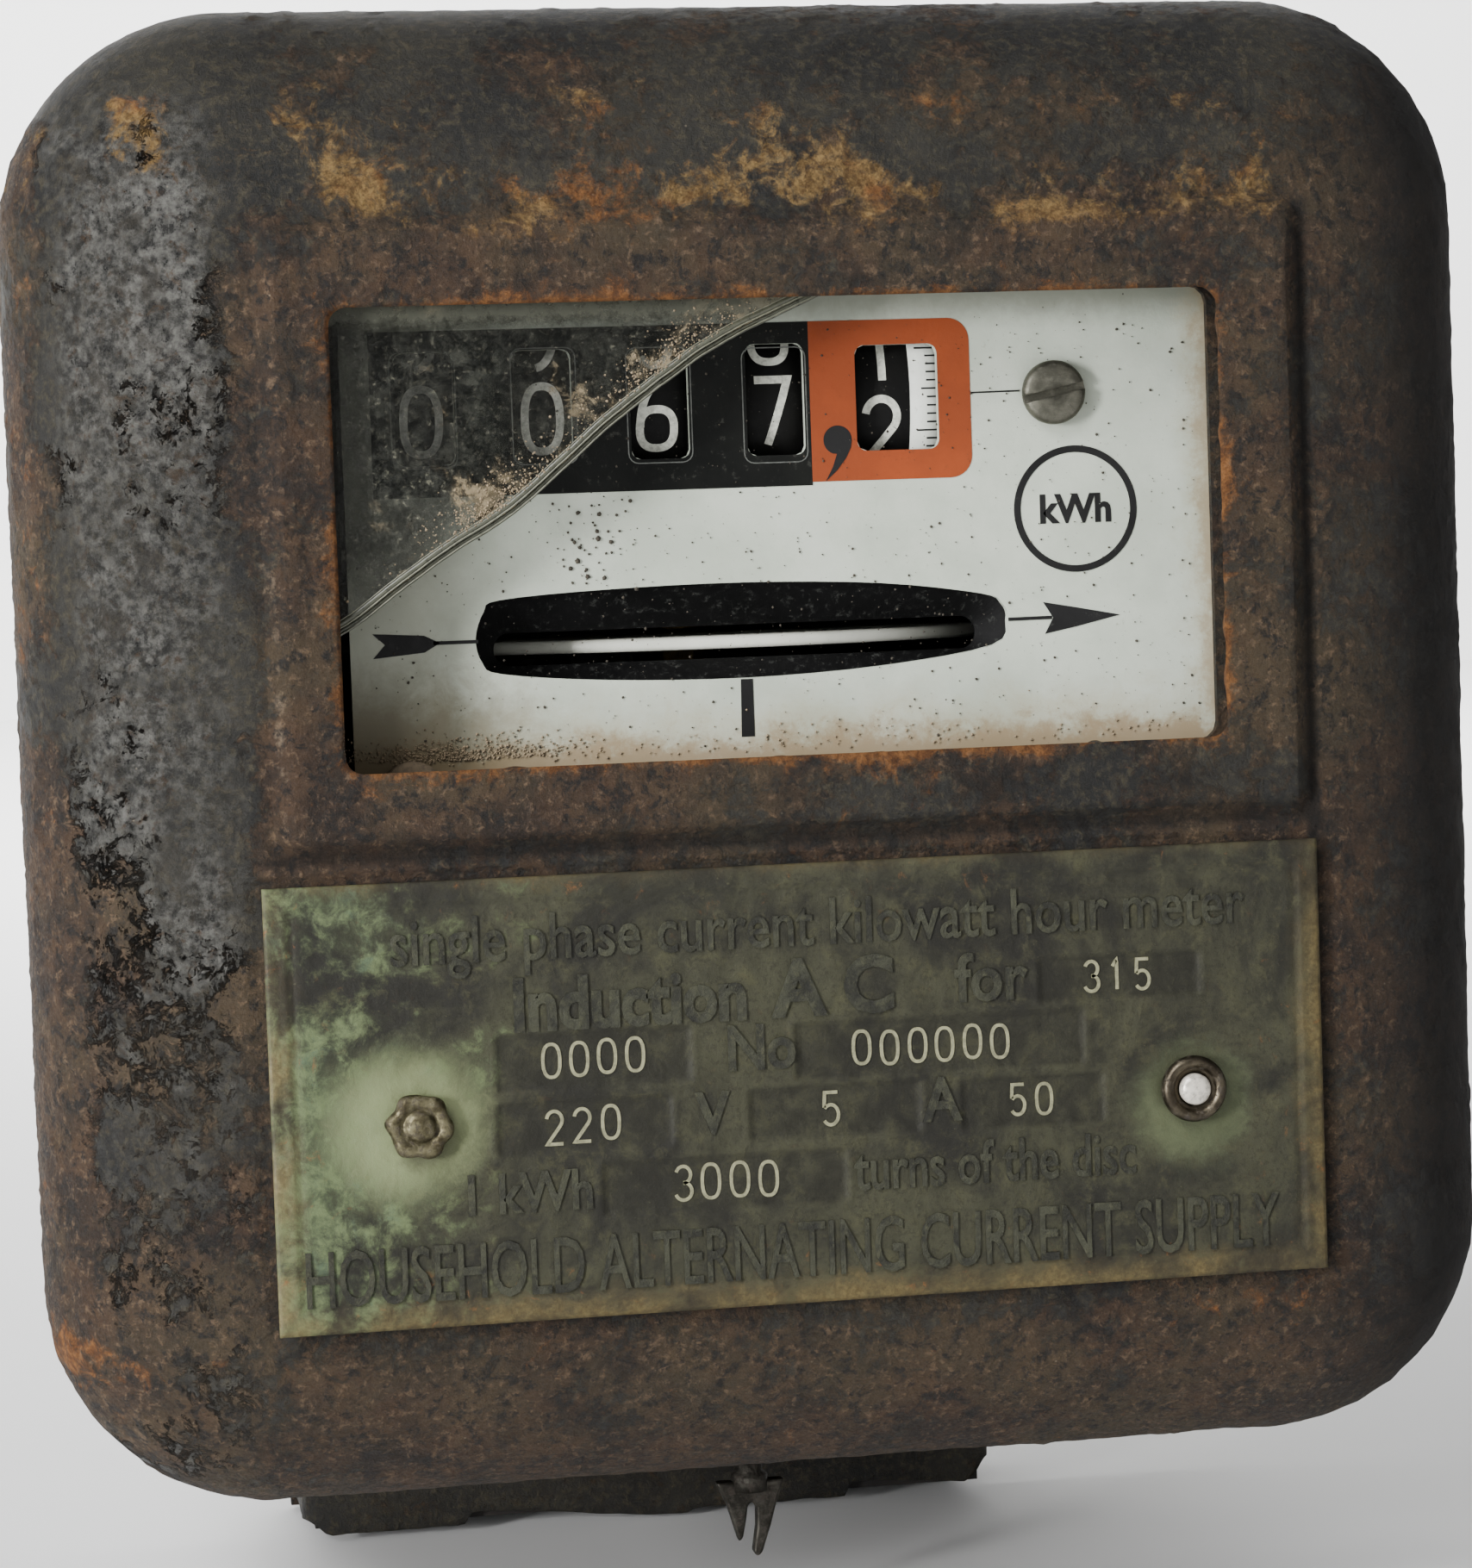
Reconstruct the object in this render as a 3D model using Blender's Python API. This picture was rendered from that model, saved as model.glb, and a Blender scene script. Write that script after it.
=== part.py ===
"""Single-phase induction electricity meter: pressed-steel case, disc movement, drum register and terminals.

All lengths below are millimetres; meshes are written in metres. +Z is up, the front faces -Y, and the
origin is the centre of the back mounting face.
"""

import math

import bmesh
import bpy
from mathutils import Vector
from mathutils.geometry import tessellate_polygon

MM = 0.001

# Case
COVER_HALF = 67.0
COVER_CORNER = 20.4
COVER_WALL = 1.2
COVER_REAR_Y = -16.0
COVER_FRONT_Y = -93.4
EDGE_IN_PLAN = 23.0
EDGE_IN_DEPTH = 16.8
PANEL_FRONT_Y = -94.3
PANEL = (0.8, 20.0, 92.2, 54.1, 1.5)
WINDOW = (0.06, 19.5, 79.1, 40.2, 1.6)
PLATE = (0.2, -29.7, 94.8, 39.1, 0.8)
RIVETS = ((-34.4, -31.4), (35.2, -32.05))
PAN_HALF = 64.4
PAN_DEPTH = 24.0
PAN_WALL = 1.5
SEAL_Y = -57.0

# Terminal section
TERM_LEFT = -41.5
TERM_RIGHT = 33.5
TERM_LOW = -85.5
TERM_FRONT_Y = -19.0
TERM_X = (-31.0, -13.0, 5.0, 23.0)
TERM_TOP = -67.7

# Dial and register
DIAL_FRONT_Y = -85.0
DIAL_THICK = 0.8
DIAL_BOX = (-38.0, 42.1, -5.0, 41.2)
SCREWS = ((26.6, 30.9), (-33.0, -3.0))
DRUM_X = (-30.6, -20.06, -9.52, 1.02, 12.2)
DRUM_AXIS = (-71.5, 31.0)
DRUM_R = 12.0
DRUM_LEFT = (4.2, 4.2, 4.2, 4.2, 4.84)
DRUM_RIGHT = (3.8, 3.8, 3.8, 3.8, 5.6)
RING_TEETH = 20
TRANSFER_TEETH = 8
TRANSFER_MODULE = 1.01
TRANSFER_R = TRANSFER_MODULE * (RING_TEETH + TRANSFER_TEETH) / 2
TRANSFER_AXIS = (
    DRUM_AXIS[0] + TRANSFER_R * math.sqrt(0.5),
    DRUM_AXIS[1] - TRANSFER_R * math.sqrt(0.5),
)
SIDE_LEFT = (-37.8, -36.6)
SIDE_RIGHT = (22.4, 23.6)

# Rotor and gear train
ROTOR_X = -2.5
ROTOR_Y = -43.4
DISC_R = 37.0
DISC_Z = (8.7, 9.9)
SPINDLE_R = 1.2
WORM_MODULE = 0.4
WORM_WHEEL_TEETH = 50
WORM_R = 2.0
A_AXIS = (ROTOR_Y - WORM_R - WORM_MODULE * WORM_WHEEL_TEETH / 2, 48.5)
AB_MODULE = 0.36
PINION_A = 8
WHEEL_B = 60
BC_MODULE = 0.42
PINION_B = 7
WHEEL_C = 56
RUNNING = 0.1

COLOURS = {
    "rusty_steel": ((0.13, 0.075, 0.045), 0.4, 0.65),
    "steel": ((0.45, 0.45, 0.46), 1.0, 0.4),
    "brass": ((0.42, 0.33, 0.14), 1.0, 0.45),
    "aluminium": ((0.75, 0.76, 0.77), 1.0, 0.3),
    "iron": ((0.16, 0.16, 0.17), 0.8, 0.6),
    "copper": ((0.55, 0.24, 0.12), 0.8, 0.45),
    "black": ((0.02, 0.02, 0.022), 0.0, 0.5),
    "white": ((0.62, 0.64, 0.6), 0.0, 0.5),
    "felt": ((0.2, 0.19, 0.16), 0.0, 0.95),
    "glass": ((0.75, 0.8, 0.75), 0.0, 0.1),
}


def material_for(name, look):
    colour, metallic, roughness = COLOURS[look]
    mat = bpy.data.materials.new(name + "_finish")
    mat.use_nodes = True
    shader = mat.node_tree.nodes["Principled BSDF"]
    shader.inputs["Base Color"].default_value = (*colour, 1.0)
    shader.inputs["Metallic"].default_value = metallic
    shader.inputs["Roughness"].default_value = roughness
    if look == "glass":
        shader.inputs["Transmission Weight"].default_value = 0.8
    return mat


def solid(name, look, verts, faces, origin=(0.0, 0.0, 0.0)):
    """A closed mesh object from points in millimetres, with its own origin."""
    mesh = bpy.data.meshes.new(name)
    shift = Vector(origin)
    mesh.from_pydata([(Vector(v) - shift) * MM for v in verts], [], faces)
    bm = bmesh.new()
    bm.from_mesh(mesh)
    bmesh.ops.recalc_face_normals(bm, faces=bm.faces)
    bmesh.ops.triangulate(bm, faces=[f for f in bm.faces if len(f.verts) > 4])
    bm.to_mesh(mesh)
    bm.free()
    obj = bpy.data.objects.new(name, mesh)
    obj.location = shift * MM
    bpy.context.scene.collection.objects.link(obj)
    if look:
        mesh.materials.append(material_for(name, look))
    return obj


def point_on(axis, a, b, h):
    """The two cross coordinates and the height along the axis, as x, y, z."""
    return {"X": (h, a, b), "Y": (a, h, b), "Z": (a, b, h)}[axis]


def circle(a, b, r, n=16, phase=0.0):
    step = 2 * math.pi / n
    return [(a + r * math.cos(phase + step * i), b + r * math.sin(phase + step * i)) for i in range(n)]


def rounded(a, b, width, height, r, n=3):
    """A rectangle with round corners, anticlockwise."""
    loop = []
    for sa, sb, start in ((1, 1, 0), (-1, 1, 90), (-1, -1, 180), (1, -1, 270)):
        ca = a + sa * (width / 2 - r)
        cb = b + sb * (height / 2 - r)
        for i in range(n + 1):
            turn = math.radians(start + 90 * i / n)
            loop.append((ca + r * math.cos(turn), cb + r * math.sin(turn)))
    return loop


def gear(a, b, teeth, module, phase):
    """Three points a tooth; a tooth's middle lies at the phase angle."""
    pitch = module * teeth / 2
    tip = pitch + 0.25 * module
    root = pitch - module
    step = 2 * math.pi / teeth
    loop = []
    for i in range(teeth):
        for share, r in ((-0.5, root), (-0.15, tip), (0.15, tip)):
            turn = phase + (i + share) * step
            loop.append((a + r * math.cos(turn), b + r * math.sin(turn)))
    return loop


def extrude(name, look, loops, axis, lo, hi, origin=(0.0, 0.0, 0.0)):
    """An outline, with any holes after it, drawn out along an axis."""
    flat = [p for loop in loops for p in loop]
    count = len(flat)
    verts = [point_on(axis, a, b, lo) for a, b in flat] + [point_on(axis, a, b, hi) for a, b in flat]
    caps = tessellate_polygon([[Vector((a, b, 0.0)) for a, b in loop] for loop in loops])
    faces = [tuple(tri) for tri in caps]
    faces += [tuple(i + count for i in reversed(tri)) for tri in caps]
    start = 0
    for loop in loops:
        n = len(loop)
        for i in range(n):
            j = (i + 1) % n
            faces.append((start + i, start + j, start + j + count, start + i + count))
        start += n
    return solid(name, look, verts, faces, origin)


def lathe(name, look, profile, axis, a, b, n=16, origin=(0.0, 0.0, 0.0)):
    """A closed profile of (radius, height) points turned about an axis."""
    verts = []
    rings = []
    for r, h in profile:
        if r == 0.0:
            rings.append([len(verts)] * n)
            verts.append(point_on(axis, a, b, h))
            continue
        rings.append(list(range(len(verts), len(verts) + n)))
        verts += [point_on(axis, p, q, h) for p, q in circle(a, b, r, n)]
    faces = []
    for one, two in zip(rings, rings[1:] + rings[:1]):
        for i in range(n):
            j = (i + 1) % n
            corners = list(dict.fromkeys((one[i], one[j], two[j], two[i])))
            if len(corners) > 2:
                faces.append(tuple(corners))
    return solid(name, look, verts, faces, origin)


def rod(name, look, axis, a, b, r, lo, hi, n=12, origin=(0.0, 0.0, 0.0)):
    return extrude(name, look, [circle(a, b, r, n)], axis, lo, hi, origin)


def box(name, look, x, y, z):
    outline = [(x[0], y[0]), (x[1], y[0]), (x[1], y[1]), (x[0], y[1])]
    return extrude(name, look, [outline], "Z", z[0], z[1])


def combine(obj, other, operation):
    """Unites another solid with this one, or cuts it away, and removes the other."""
    modifier = obj.modifiers.new(operation.lower(), "BOOLEAN")
    modifier.operation = operation
    modifier.solver = "EXACT"
    modifier.object = other
    with bpy.context.temp_override(object=obj, active_object=obj, selected_objects=[obj]):
        bpy.ops.object.modifier_apply(modifier=modifier.name)
    bpy.data.objects.remove(other)
    return obj


def cut(obj, other):
    return combine(obj, other, "DIFFERENCE")


def join(obj, other):
    return combine(obj, other, "UNION")


def shell_rings(offset, half, corner, front_y, rear_y, steps):
    """Rings of a rounded case from its rear rim to the edge of its flat front."""
    rings = [(rear_y, rounded(0, 0, 2 * (half - offset), 2 * (half - offset), corner - offset, 5))]
    for i in range(steps + 1):
        turn = math.radians(90 * i / steps)
        inset = (EDGE_IN_PLAN - offset) * (1 - math.cos(turn))
        y = front_y + offset + (EDGE_IN_DEPTH - offset) * (1 - math.sin(turn))
        r = max(corner - offset - 0.85 * inset, 3.0)
        width = 2 * (half - offset - inset)
        rings.append((y, rounded(0, 0, width, width, r, 5)))
    return rings


def front_cover():
    outer = shell_rings(0.0, COVER_HALF, COVER_CORNER, COVER_FRONT_Y, COVER_REAR_Y, 6)
    inner = shell_rings(COVER_WALL, COVER_HALF, COVER_CORNER, COVER_FRONT_Y, COVER_REAR_Y, 6)
    n = len(outer[0][1])
    rings = outer + inner[::-1]
    verts = [(a, y, b) for y, loop in rings for a, b in loop]
    faces = []
    for k in range(len(rings)):
        m = (k + 1) % len(rings)
        if k == len(outer) - 1:
            continue
        for i in range(n):
            j = (i + 1) % n
            faces.append((k * n + i, k * n + j, m * n + j, m * n + i))
    faces.append(tuple(range((len(outer) - 1) * n, len(outer) * n)))
    faces.append(tuple(range(len(outer) * n, (len(outer) + 1) * n)))
    cover = solid("front_cover", "rusty_steel", verts, faces)
    panel = extrude("panel", None, [rounded(*PANEL)], "Y", PANEL_FRONT_Y, COVER_FRONT_Y + 0.6)
    join(cover, panel)
    cut(cover, extrude("window_cut", None, [rounded(*WINDOW)], "Y", PANEL_FRONT_Y - 2, COVER_FRONT_Y + 4))
    for x, z in RIVETS:
        cut(cover, rod("rivet_cut", None, "Y", x, z, 1.6, COVER_FRONT_Y - 2, COVER_FRONT_Y + 4))
    cut(cover, rod("seal_cut", None, "Z", 0.0, SEAL_Y, 1.8, -COVER_HALF - 2, -COVER_HALF + 4))
    return cover


def case_parts():
    size = 2 * PAN_HALF
    pan = extrude("base_pan", "rusty_steel", [rounded(0, 0, size, size, 18.0, 5)], "Y", -PAN_DEPTH, 0.0)
    room = size - 2 * PAN_WALL
    cut(pan, extrude("pan_cut", None, [rounded(0, 0, room, room, 16.5, 5)], "Y", -PAN_DEPTH - 5, -PAN_WALL))
    cut(pan, box("lug_notch", None, (-12.3, 12.3), (-4.1, -PAN_WALL), (60.0, 68.0)))
    cut(pan, box("lead_notch", None, (-36.0, 28.0), (-14.0, -4.0), (-68.0, -60.0)))
    join(pan, box("tongue", None, (TERM_LEFT, TERM_RIGHT), (-PAN_WALL, 0.0), (TERM_LOW, -60.0)))

    lug = [(-12.0, 50.0), (12.0, 50.0), (12.0, 68.0)]
    lug += [(12.0 * math.cos(math.radians(t)), 68.0 + 8.0 * math.sin(math.radians(t))) for t in (30, 60, 90, 120, 150)]
    lug.append((-12.0, 68.0))
    extrude("hanging_lug", "rusty_steel", [lug, circle(0.0, 70.3, 3.4, 12)], "Y", -3.8, -1.8)

    band = [rounded(0, 0, 131.2, 131.2, 19.0, 5), rounded(0, 0, 129.3, 129.3, 18.2, 5)]
    extrude("cover_gasket", "felt", band, "Y", -PAN_DEPTH, -17.0)

    front_cover()
    x, z, width, height, r = WINDOW
    frame = [rounded(x, z, width + 9.0, height + 9.0, 2.0), rounded(x, z, width + 0.8, height + 0.8, 1.6)]
    extrude("window_retainer", "rusty_steel", frame, "Y", -89.6, -88.8)
    shard = [(-41.3, 11.0), (-36.6, 13.3), (-30.5, 17.4), (-23.5, 21.7), (-18.0, 26.3), (-12.8, 30.7)]
    shard += [(-5.0, 35.8), (3.3, 39.7), (6.0, 41.4), (-41.3, 41.4)]
    extrude("window_glass", "glass", [shard], "Y", -91.9, -89.9)

    holes = [circle(px, pz, 1.6, 12) for px, pz in RIVETS]
    extrude("nameplate", "brass", [rounded(*PLATE)] + holes, "Y", -94.3, -93.7)
    head = [(0.0, -91.9), (1.4, -91.9), (1.4, -94.6), (3.0, -94.6), (3.0, -95.2), (2.6, -95.7)]
    head += [(1.8, -95.5), (1.5, -96.0), (0.0, -96.2)]
    for side, (px, pz) in zip(("left", "right"), RIVETS):
        lathe("nameplate_rivet_" + side, "steel", head, "Y", px, pz, 16)

    stem = [(0.0, -60.0), (1.6, -60.0), (1.6, -67.4), (3.2, -67.4), (3.2, -72.5), (1.6, -73.5), (0.0, -73.5)]
    screw = lathe("cover_seal_screw", "steel", stem, "Z", 0.0, SEAL_Y, 16)
    prongs = [(-3.4, -73.0), (3.4, -73.0), (3.5, -76.5), (0.9, -81.0), (0.4, -81.0), (0.3, -77.5)]
    prongs += [(-0.6, -77.5), (-1.2, -80.4), (-2.0, -80.0), (-3.5, -76.0)]
    join(screw, extrude("prongs", None, [prongs], "Y", SEAL_Y - 1.0, SEAL_Y + 1.0))


def terminal_parts():
    outline = [(TERM_LEFT + 1.5, -17.5), (TERM_RIGHT - 1.5, -17.5), (TERM_RIGHT - 1.5, -1.8), (TERM_LEFT + 1.5, -1.8)]
    channels = [rounded(x, -9.6, 6.8, 6.8, 0.4, 1) for x in TERM_X]
    block = extrude("terminal_block", "black", [outline] + channels, "Z", TERM_LOW + 1.0, TERM_TOP)
    middle = (TERM_LEFT + TERM_RIGHT) / 2
    for x in TERM_X:
        cut(block, rod("screw_cut", None, "Y", x, -73.0, 2.3, -18.5, -10.0))
    cut(block, rod("cover_cut", None, "Y", middle, -76.0, 1.7, -18.5, -8.0))
    for number, x in enumerate(TERM_X, 1):
        bore = circle(x, -9.6, 2.1, 12)
        extrude(f"terminal_clamp_{number}", "brass", [rounded(x, -9.6, 6.2, 6.2, 0.4, 1), bore], "Z", -77.0, -68.0)
        shank = [(0.0, -13.1), (1.4, -13.1), (1.4, -15.2), (2.1, -15.2), (2.1, -17.2), (0.0, -17.2)]
        lathe(f"terminal_screw_{number}", "brass", shank, "Y", x, -73.0, 12)
    left, right, front = TERM_LEFT, TERM_RIGHT, TERM_FRONT_Y
    wall = [(left, -1.8), (left, front), (right, front), (right, -1.8)]
    wall += [(right - 1.0, -1.8), (right - 1.0, front + 1.0), (left + 1.0, front + 1.0), (left + 1.0, -1.8)]
    guard = extrude("terminal_cover", "rusty_steel", [wall], "Z", TERM_LOW, TERM_TOP)
    cut(guard, rod("guard_cut", None, "Y", middle, -76.0, 1.7, front - 2, front + 3))
    shank = [(0.0, -10.0), (1.4, -10.0), (1.4, -19.3), (2.8, -19.3), (2.8, -20.3), (2.0, -20.9), (0.0, -20.9)]
    lathe("terminal_cover_screw", "steel", shank, "Y", middle, -76.0, 12)


def drive_parts():
    """Vertical rotor: disc, hub, spindle and worm, between its two bearings."""
    spin = (ROTOR_X, ROTOR_Y, 0.0)
    low, high = DISC_Z
    disc = [(2.4, low), (DISC_R, low), (DISC_R, high), (2.4, high)]
    lathe("rotor_disc", "aluminium", disc, "Z", ROTOR_X, ROTOR_Y, 56, spin)
    hub = [(1.3, 5.5), (4.0, 5.5), (4.0, low - 0.15), (2.2, low - 0.15), (2.2, high + 0.15)]
    hub += [(4.0, high + 0.15), (4.0, 12.5), (1.3, 12.5)]
    lathe("rotor_hub", "brass", hub, "Z", ROTOR_X, ROTOR_Y, 16, spin)
    rod("rotor_spindle", "steel", "Z", ROTOR_X, ROTOR_Y, SPINDLE_R, -30.7, 58.5, 12, spin)

    lead = math.pi * WORM_MODULE
    tip = WORM_R + 0.25 * WORM_MODULE
    root = WORM_R - WORM_MODULE
    around = 10
    levels = 36
    base = A_AXIS[1] - levels * lead / 10
    verts = []
    for k in range(levels + 1):
        z = base + k * lead / 5
        for i in range(around):
            turn = 2 * math.pi * i / around
            # the groove faces -Y at the worm wheel's height
            share = (turn / (2 * math.pi) - (z - A_AXIS[1]) / lead + 0.25) % 1.0
            share = abs(share - 0.5)
            depth = min(max((share - 0.125) / 0.175, 0.0), 1.0)
            r = tip + (root - tip) * depth
            verts.append((ROTOR_X + r * math.cos(turn), ROTOR_Y + r * math.sin(turn), z))
    faces = []
    for k in range(levels):
        for i in range(around):
            j = (i + 1) % around
            a, b, c, d = k * around + i, k * around + j, (k + 1) * around + j, (k + 1) * around + i
            faces += [(a, b, c), (a, c, d)]
    bore = circle(ROTOR_X, ROTOR_Y, 1.3, around)
    start = len(verts)
    verts += [(x, y, base) for x, y in bore] + [(x, y, base + levels * lead / 5) for x, y in bore]
    for i in range(around):
        j = (i + 1) % around
        last = levels * around
        faces.append((start + i, start + j, start + around + j, start + around + i))
        faces.append((i, j, start + j, start + i))
        faces.append((last + i, last + j, start + around + j, start + around + i))
    solid("spindle_worm", "steel", verts, faces, spin)

    cup = [(0.0, -33.7), (3.5, -33.7), (3.5, -27.0), (1.3, -27.0), (1.3, -31.2), (0.0, -31.2)]
    lathe("lower_bearing", "brass", cup, "Z", ROTOR_X, ROTOR_Y, 16)
    ring = [(1.3, 54.6), (2.8, 54.6), (2.8, 59.7), (1.3, 59.7)]
    lathe("upper_bearing", "brass", ring, "Z", ROTOR_X, ROTOR_Y, 16)

    side = [(-5.9, -36.0), (-4.1, -36.0), (-4.1, 62.0), (-66.0, 62.0), (-66.0, 60.0), (-5.9, 60.0)]
    side += [(-5.9, -34.0), (-50.0, -34.0), (-50.0, -36.0)]
    extrude("mech_frame", "steel", [side], "X", ROTOR_X - 8.5, ROTOR_X + 8.5)


def rectangle(x, z):
    return [(x[0], z[0]), (x[1], z[0]), (x[1], z[1]), (x[0], z[1])]


def magnet_parts():
    """Electromagnets above and below the disc, and the brake magnet at its side."""
    c = ROTOR_X
    outer = rectangle((c - 25, c + 25), (12.0, 50.0))
    windows = [rectangle((c - 18.5, c - 5.5), (20.0, 44.0)), rectangle((c + 5.5, c + 18.5), (20.0, 44.0))]
    extrude("voltage_core", "iron", [outer] + windows, "Y", -27.0, -13.0)
    wound = rounded(c, -20.0, 36.0, 27.4, 4.0, 2)
    limb = [(c - 5.8, -27.3), (c + 5.8, -27.3), (c + 5.8, -12.7), (c - 5.8, -12.7)]
    extrude("voltage_coil", "copper", [wound, limb], "Z", 20.4, 43.6)
    legs = [(c - 16, -25.0), (c + 16, -25.0), (c + 16, 7.0), (c + 8, 7.0)]
    legs += [(c + 8, -17.0), (c - 8, -17.0), (c - 8, 7.0), (c - 16, 7.0)]
    extrude("current_core", "iron", [legs], "Y", -27.0, -13.0)
    for side, x in (("left", c - 12), ("right", c + 12)):
        hole = [(x - 4.3, -27.3), (x + 4.3, -27.3), (x + 4.3, -12.7), (x - 4.3, -12.7)]
        extrude("current_coil_" + side, "copper", [rounded(x, -20.0, 17.0, 22.0, 3.0, 2), hole], "Z", -15.0, 3.5)
    horseshoe = [(20.0, 11.6), (37.5, 11.6), (37.5, 7.1), (20.0, 7.1), (20.0, -1.0), (44.0, -1.0)]
    horseshoe += [(48.0, 3.0), (48.0, 16.0), (44.0, 20.0), (20.0, 20.0)]
    extrude("brake_magnet", "iron", [horseshoe], "Y", -51.0, -38.0)
    box("magnet_bracket", "steel", (39.0, 47.0), (-37.7, -1.8), (4.0, 14.0))


def angle_to(one, two):
    return math.atan2(two[1] - one[1], two[0] - one[0])


def meeting_point(one, two, r_one, r_two):
    """The lower of the two points at the given distances from two axes."""
    gap = math.dist(one, two)
    turn = math.acos((r_one**2 + gap**2 - r_two**2) / (2 * r_one * gap))
    turn += angle_to(one, two)
    return (one[0] + r_one * math.cos(turn), one[1] + r_one * math.sin(turn))


def drum(number):
    """A number drum: its digit face, the ring gear on its right and the driver on its left."""
    a, b = DRUM_AXIS
    x = DRUM_X[number]
    left = x - DRUM_LEFT[number]
    right = x + DRUM_RIGHT[number]
    origin = (x, a, b)
    bore = 1.6
    boss = [(bore, left - 1.1), (9.0, left - 1.1), (9.0, left)] if number else [(bore, left)]
    face = [(DRUM_R - 0.3, left), (DRUM_R, left + 0.3), (DRUM_R, right - 0.3), (DRUM_R - 0.3, right)]
    profile = boss + face + [(bore, right)]
    wheel = lathe(f"drum_{number + 1}", "black", profile, "X", a, b, 40, origin)
    if number < len(DRUM_X) - 1:
        phase = angle_to(DRUM_AXIS, TRANSFER_AXIS) + math.pi / RING_TEETH
        teeth = gear(a, b, RING_TEETH, TRANSFER_MODULE, phase)
        join(wheel, extrude("ring", None, [teeth, circle(a, b, bore + 3, 16)], "X", right - 0.8, right + 1.2))
    if number:
        for turn in (2.2, 2.5):
            block = [(8.5, turn - 0.05), (10.3, turn - 0.03), (10.3, turn + 0.03), (8.5, turn + 0.05)]
            block = [(a + r * math.cos(t), b + r * math.sin(t)) for r, t in block]
            join(wheel, extrude("driver", None, [block], "X", left - 1.05, left + 0.6))
    return wheel


def register_parts():
    a, b = DRUM_AXIS
    b_axis = meeting_point(
        A_AXIS, DRUM_AXIS, AB_MODULE * (PINION_A + WHEEL_B) / 2, BC_MODULE * (PINION_B + WHEEL_C) / 2
    )
    plates = [(SIDE_LEFT[0], 16.0), (SIDE_LEFT[1], 16.0), (SIDE_LEFT[1], 62.4), (SIDE_RIGHT[0], 62.4)]
    plates += [(SIDE_RIGHT[0], 16.0), (SIDE_RIGHT[1], 16.0), (SIDE_RIGHT[1], 63.6), (SIDE_LEFT[0], 63.6)]
    frame = extrude("register_frame", "steel", [plates], "Y", -77.0, -53.2)
    for (ca, cb), r in ((DRUM_AXIS, 1.5), (TRANSFER_AXIS, 1.0), (A_AXIS, 0.8), (b_axis, 0.8)):
        cut(frame, rod("bearing_cut", None, "X", ca, cb, r + RUNNING, -40.0, 26.0))
    low, high = SIDE_LEFT[0] - 0.5, SIDE_RIGHT[1] + 0.4
    rod("drum_shaft", "steel", "X", a, b, 1.5, low, high)
    for number in range(len(DRUM_X)):
        drum(number)
    rod("transfer_shaft", "steel", "X", *TRANSFER_AXIS, 1.0, low, high)
    phase = angle_to(TRANSFER_AXIS, DRUM_AXIS)
    for number in range(4):
        right = DRUM_X[number] + DRUM_RIGHT[number]
        gap_end = DRUM_X[number + 1] - DRUM_LEFT[number + 1]
        teeth = gear(*TRANSFER_AXIS, TRANSFER_TEETH, TRANSFER_MODULE, phase)
        origin = (right, *TRANSFER_AXIS)
        hole = circle(*TRANSFER_AXIS, 1.1, 12)
        extrude(f"transfer_pinion_{number + 1}", "brass", [teeth, hole], "X", right + 0.2, gap_end - 0.2, origin)

    origin = (ROTOR_X, *A_AXIS)
    teeth = gear(*A_AXIS, WORM_WHEEL_TEETH, WORM_MODULE, 0.0)
    extrude("worm_wheel", "brass", [teeth, circle(*A_AXIS, 0.9, 12)], "X", ROTOR_X - 0.6, ROTOR_X + 0.6, origin)
    arbor = rod("arbor_a", "steel", "X", *A_AXIS, 0.8, low, high, 12, origin)
    teeth = gear(*A_AXIS, PINION_A, AB_MODULE, angle_to(A_AXIS, b_axis))
    join(arbor, extrude("pinion_a", None, [teeth], "X", 19.9, 21.5))

    origin = (20.7, *b_axis)
    phase = angle_to(b_axis, A_AXIS) + math.pi / WHEEL_B
    teeth = gear(*b_axis, WHEEL_B, AB_MODULE, phase)
    extrude("wheel_b", "brass", [teeth, circle(*b_axis, 0.9, 12)], "X", 20.2, 21.2, origin)
    arbor = rod("arbor_b", "steel", "X", *b_axis, 0.8, low, high, 12, origin)
    teeth = gear(*b_axis, PINION_B, BC_MODULE, angle_to(b_axis, DRUM_AXIS))
    join(arbor, extrude("pinion_b", None, [teeth], "X", 17.95, 19.5))

    phase = angle_to(DRUM_AXIS, b_axis) + math.pi / WHEEL_C
    teeth = gear(a, b, WHEEL_C, BC_MODULE, phase)
    extrude("wheel_c", "brass", [teeth, circle(a, b, 1.6, 12)], "X", 18.2, 19.2, (18.7, a, b))


def smooth_loop(points, steps=4):
    """A closed outline that passes smoothly through the points."""
    loop = []
    count = len(points)
    for k in range(count):
        before, here, after, last = (points[(k + i - 1) % count] for i in range(4))
        for i in range(steps):
            t = i / steps
            place = []
            for a, b, c, d in zip(before, here, after, last):
                bend = (2 * a - 5 * b + 4 * c - d) * t**2 + (3 * b - a - 3 * c + d) * t**3
                place.append(0.5 * (2 * b + (c - a) * t + bend))
            loop.append(tuple(place))
    return loop


def slot_outline():
    """The lens-shaped sight slot of the disc."""
    top = [(-26.0, 12.9), (-24.5, 13.9), (-15.0, 14.5), (-2.5, 14.7), (10.0, 14.2), (19.5, 12.9), (21.4, 11.9)]
    low = [(21.8, 10.4), (20.5, 8.2), (10.0, 6.7), (-2.5, 6.1), (-15.0, 6.4), (-24.5, 7.3), (-26.3, 8.4), (-26.8, 10.6)]
    return smooth_loop(top + low)


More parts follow.
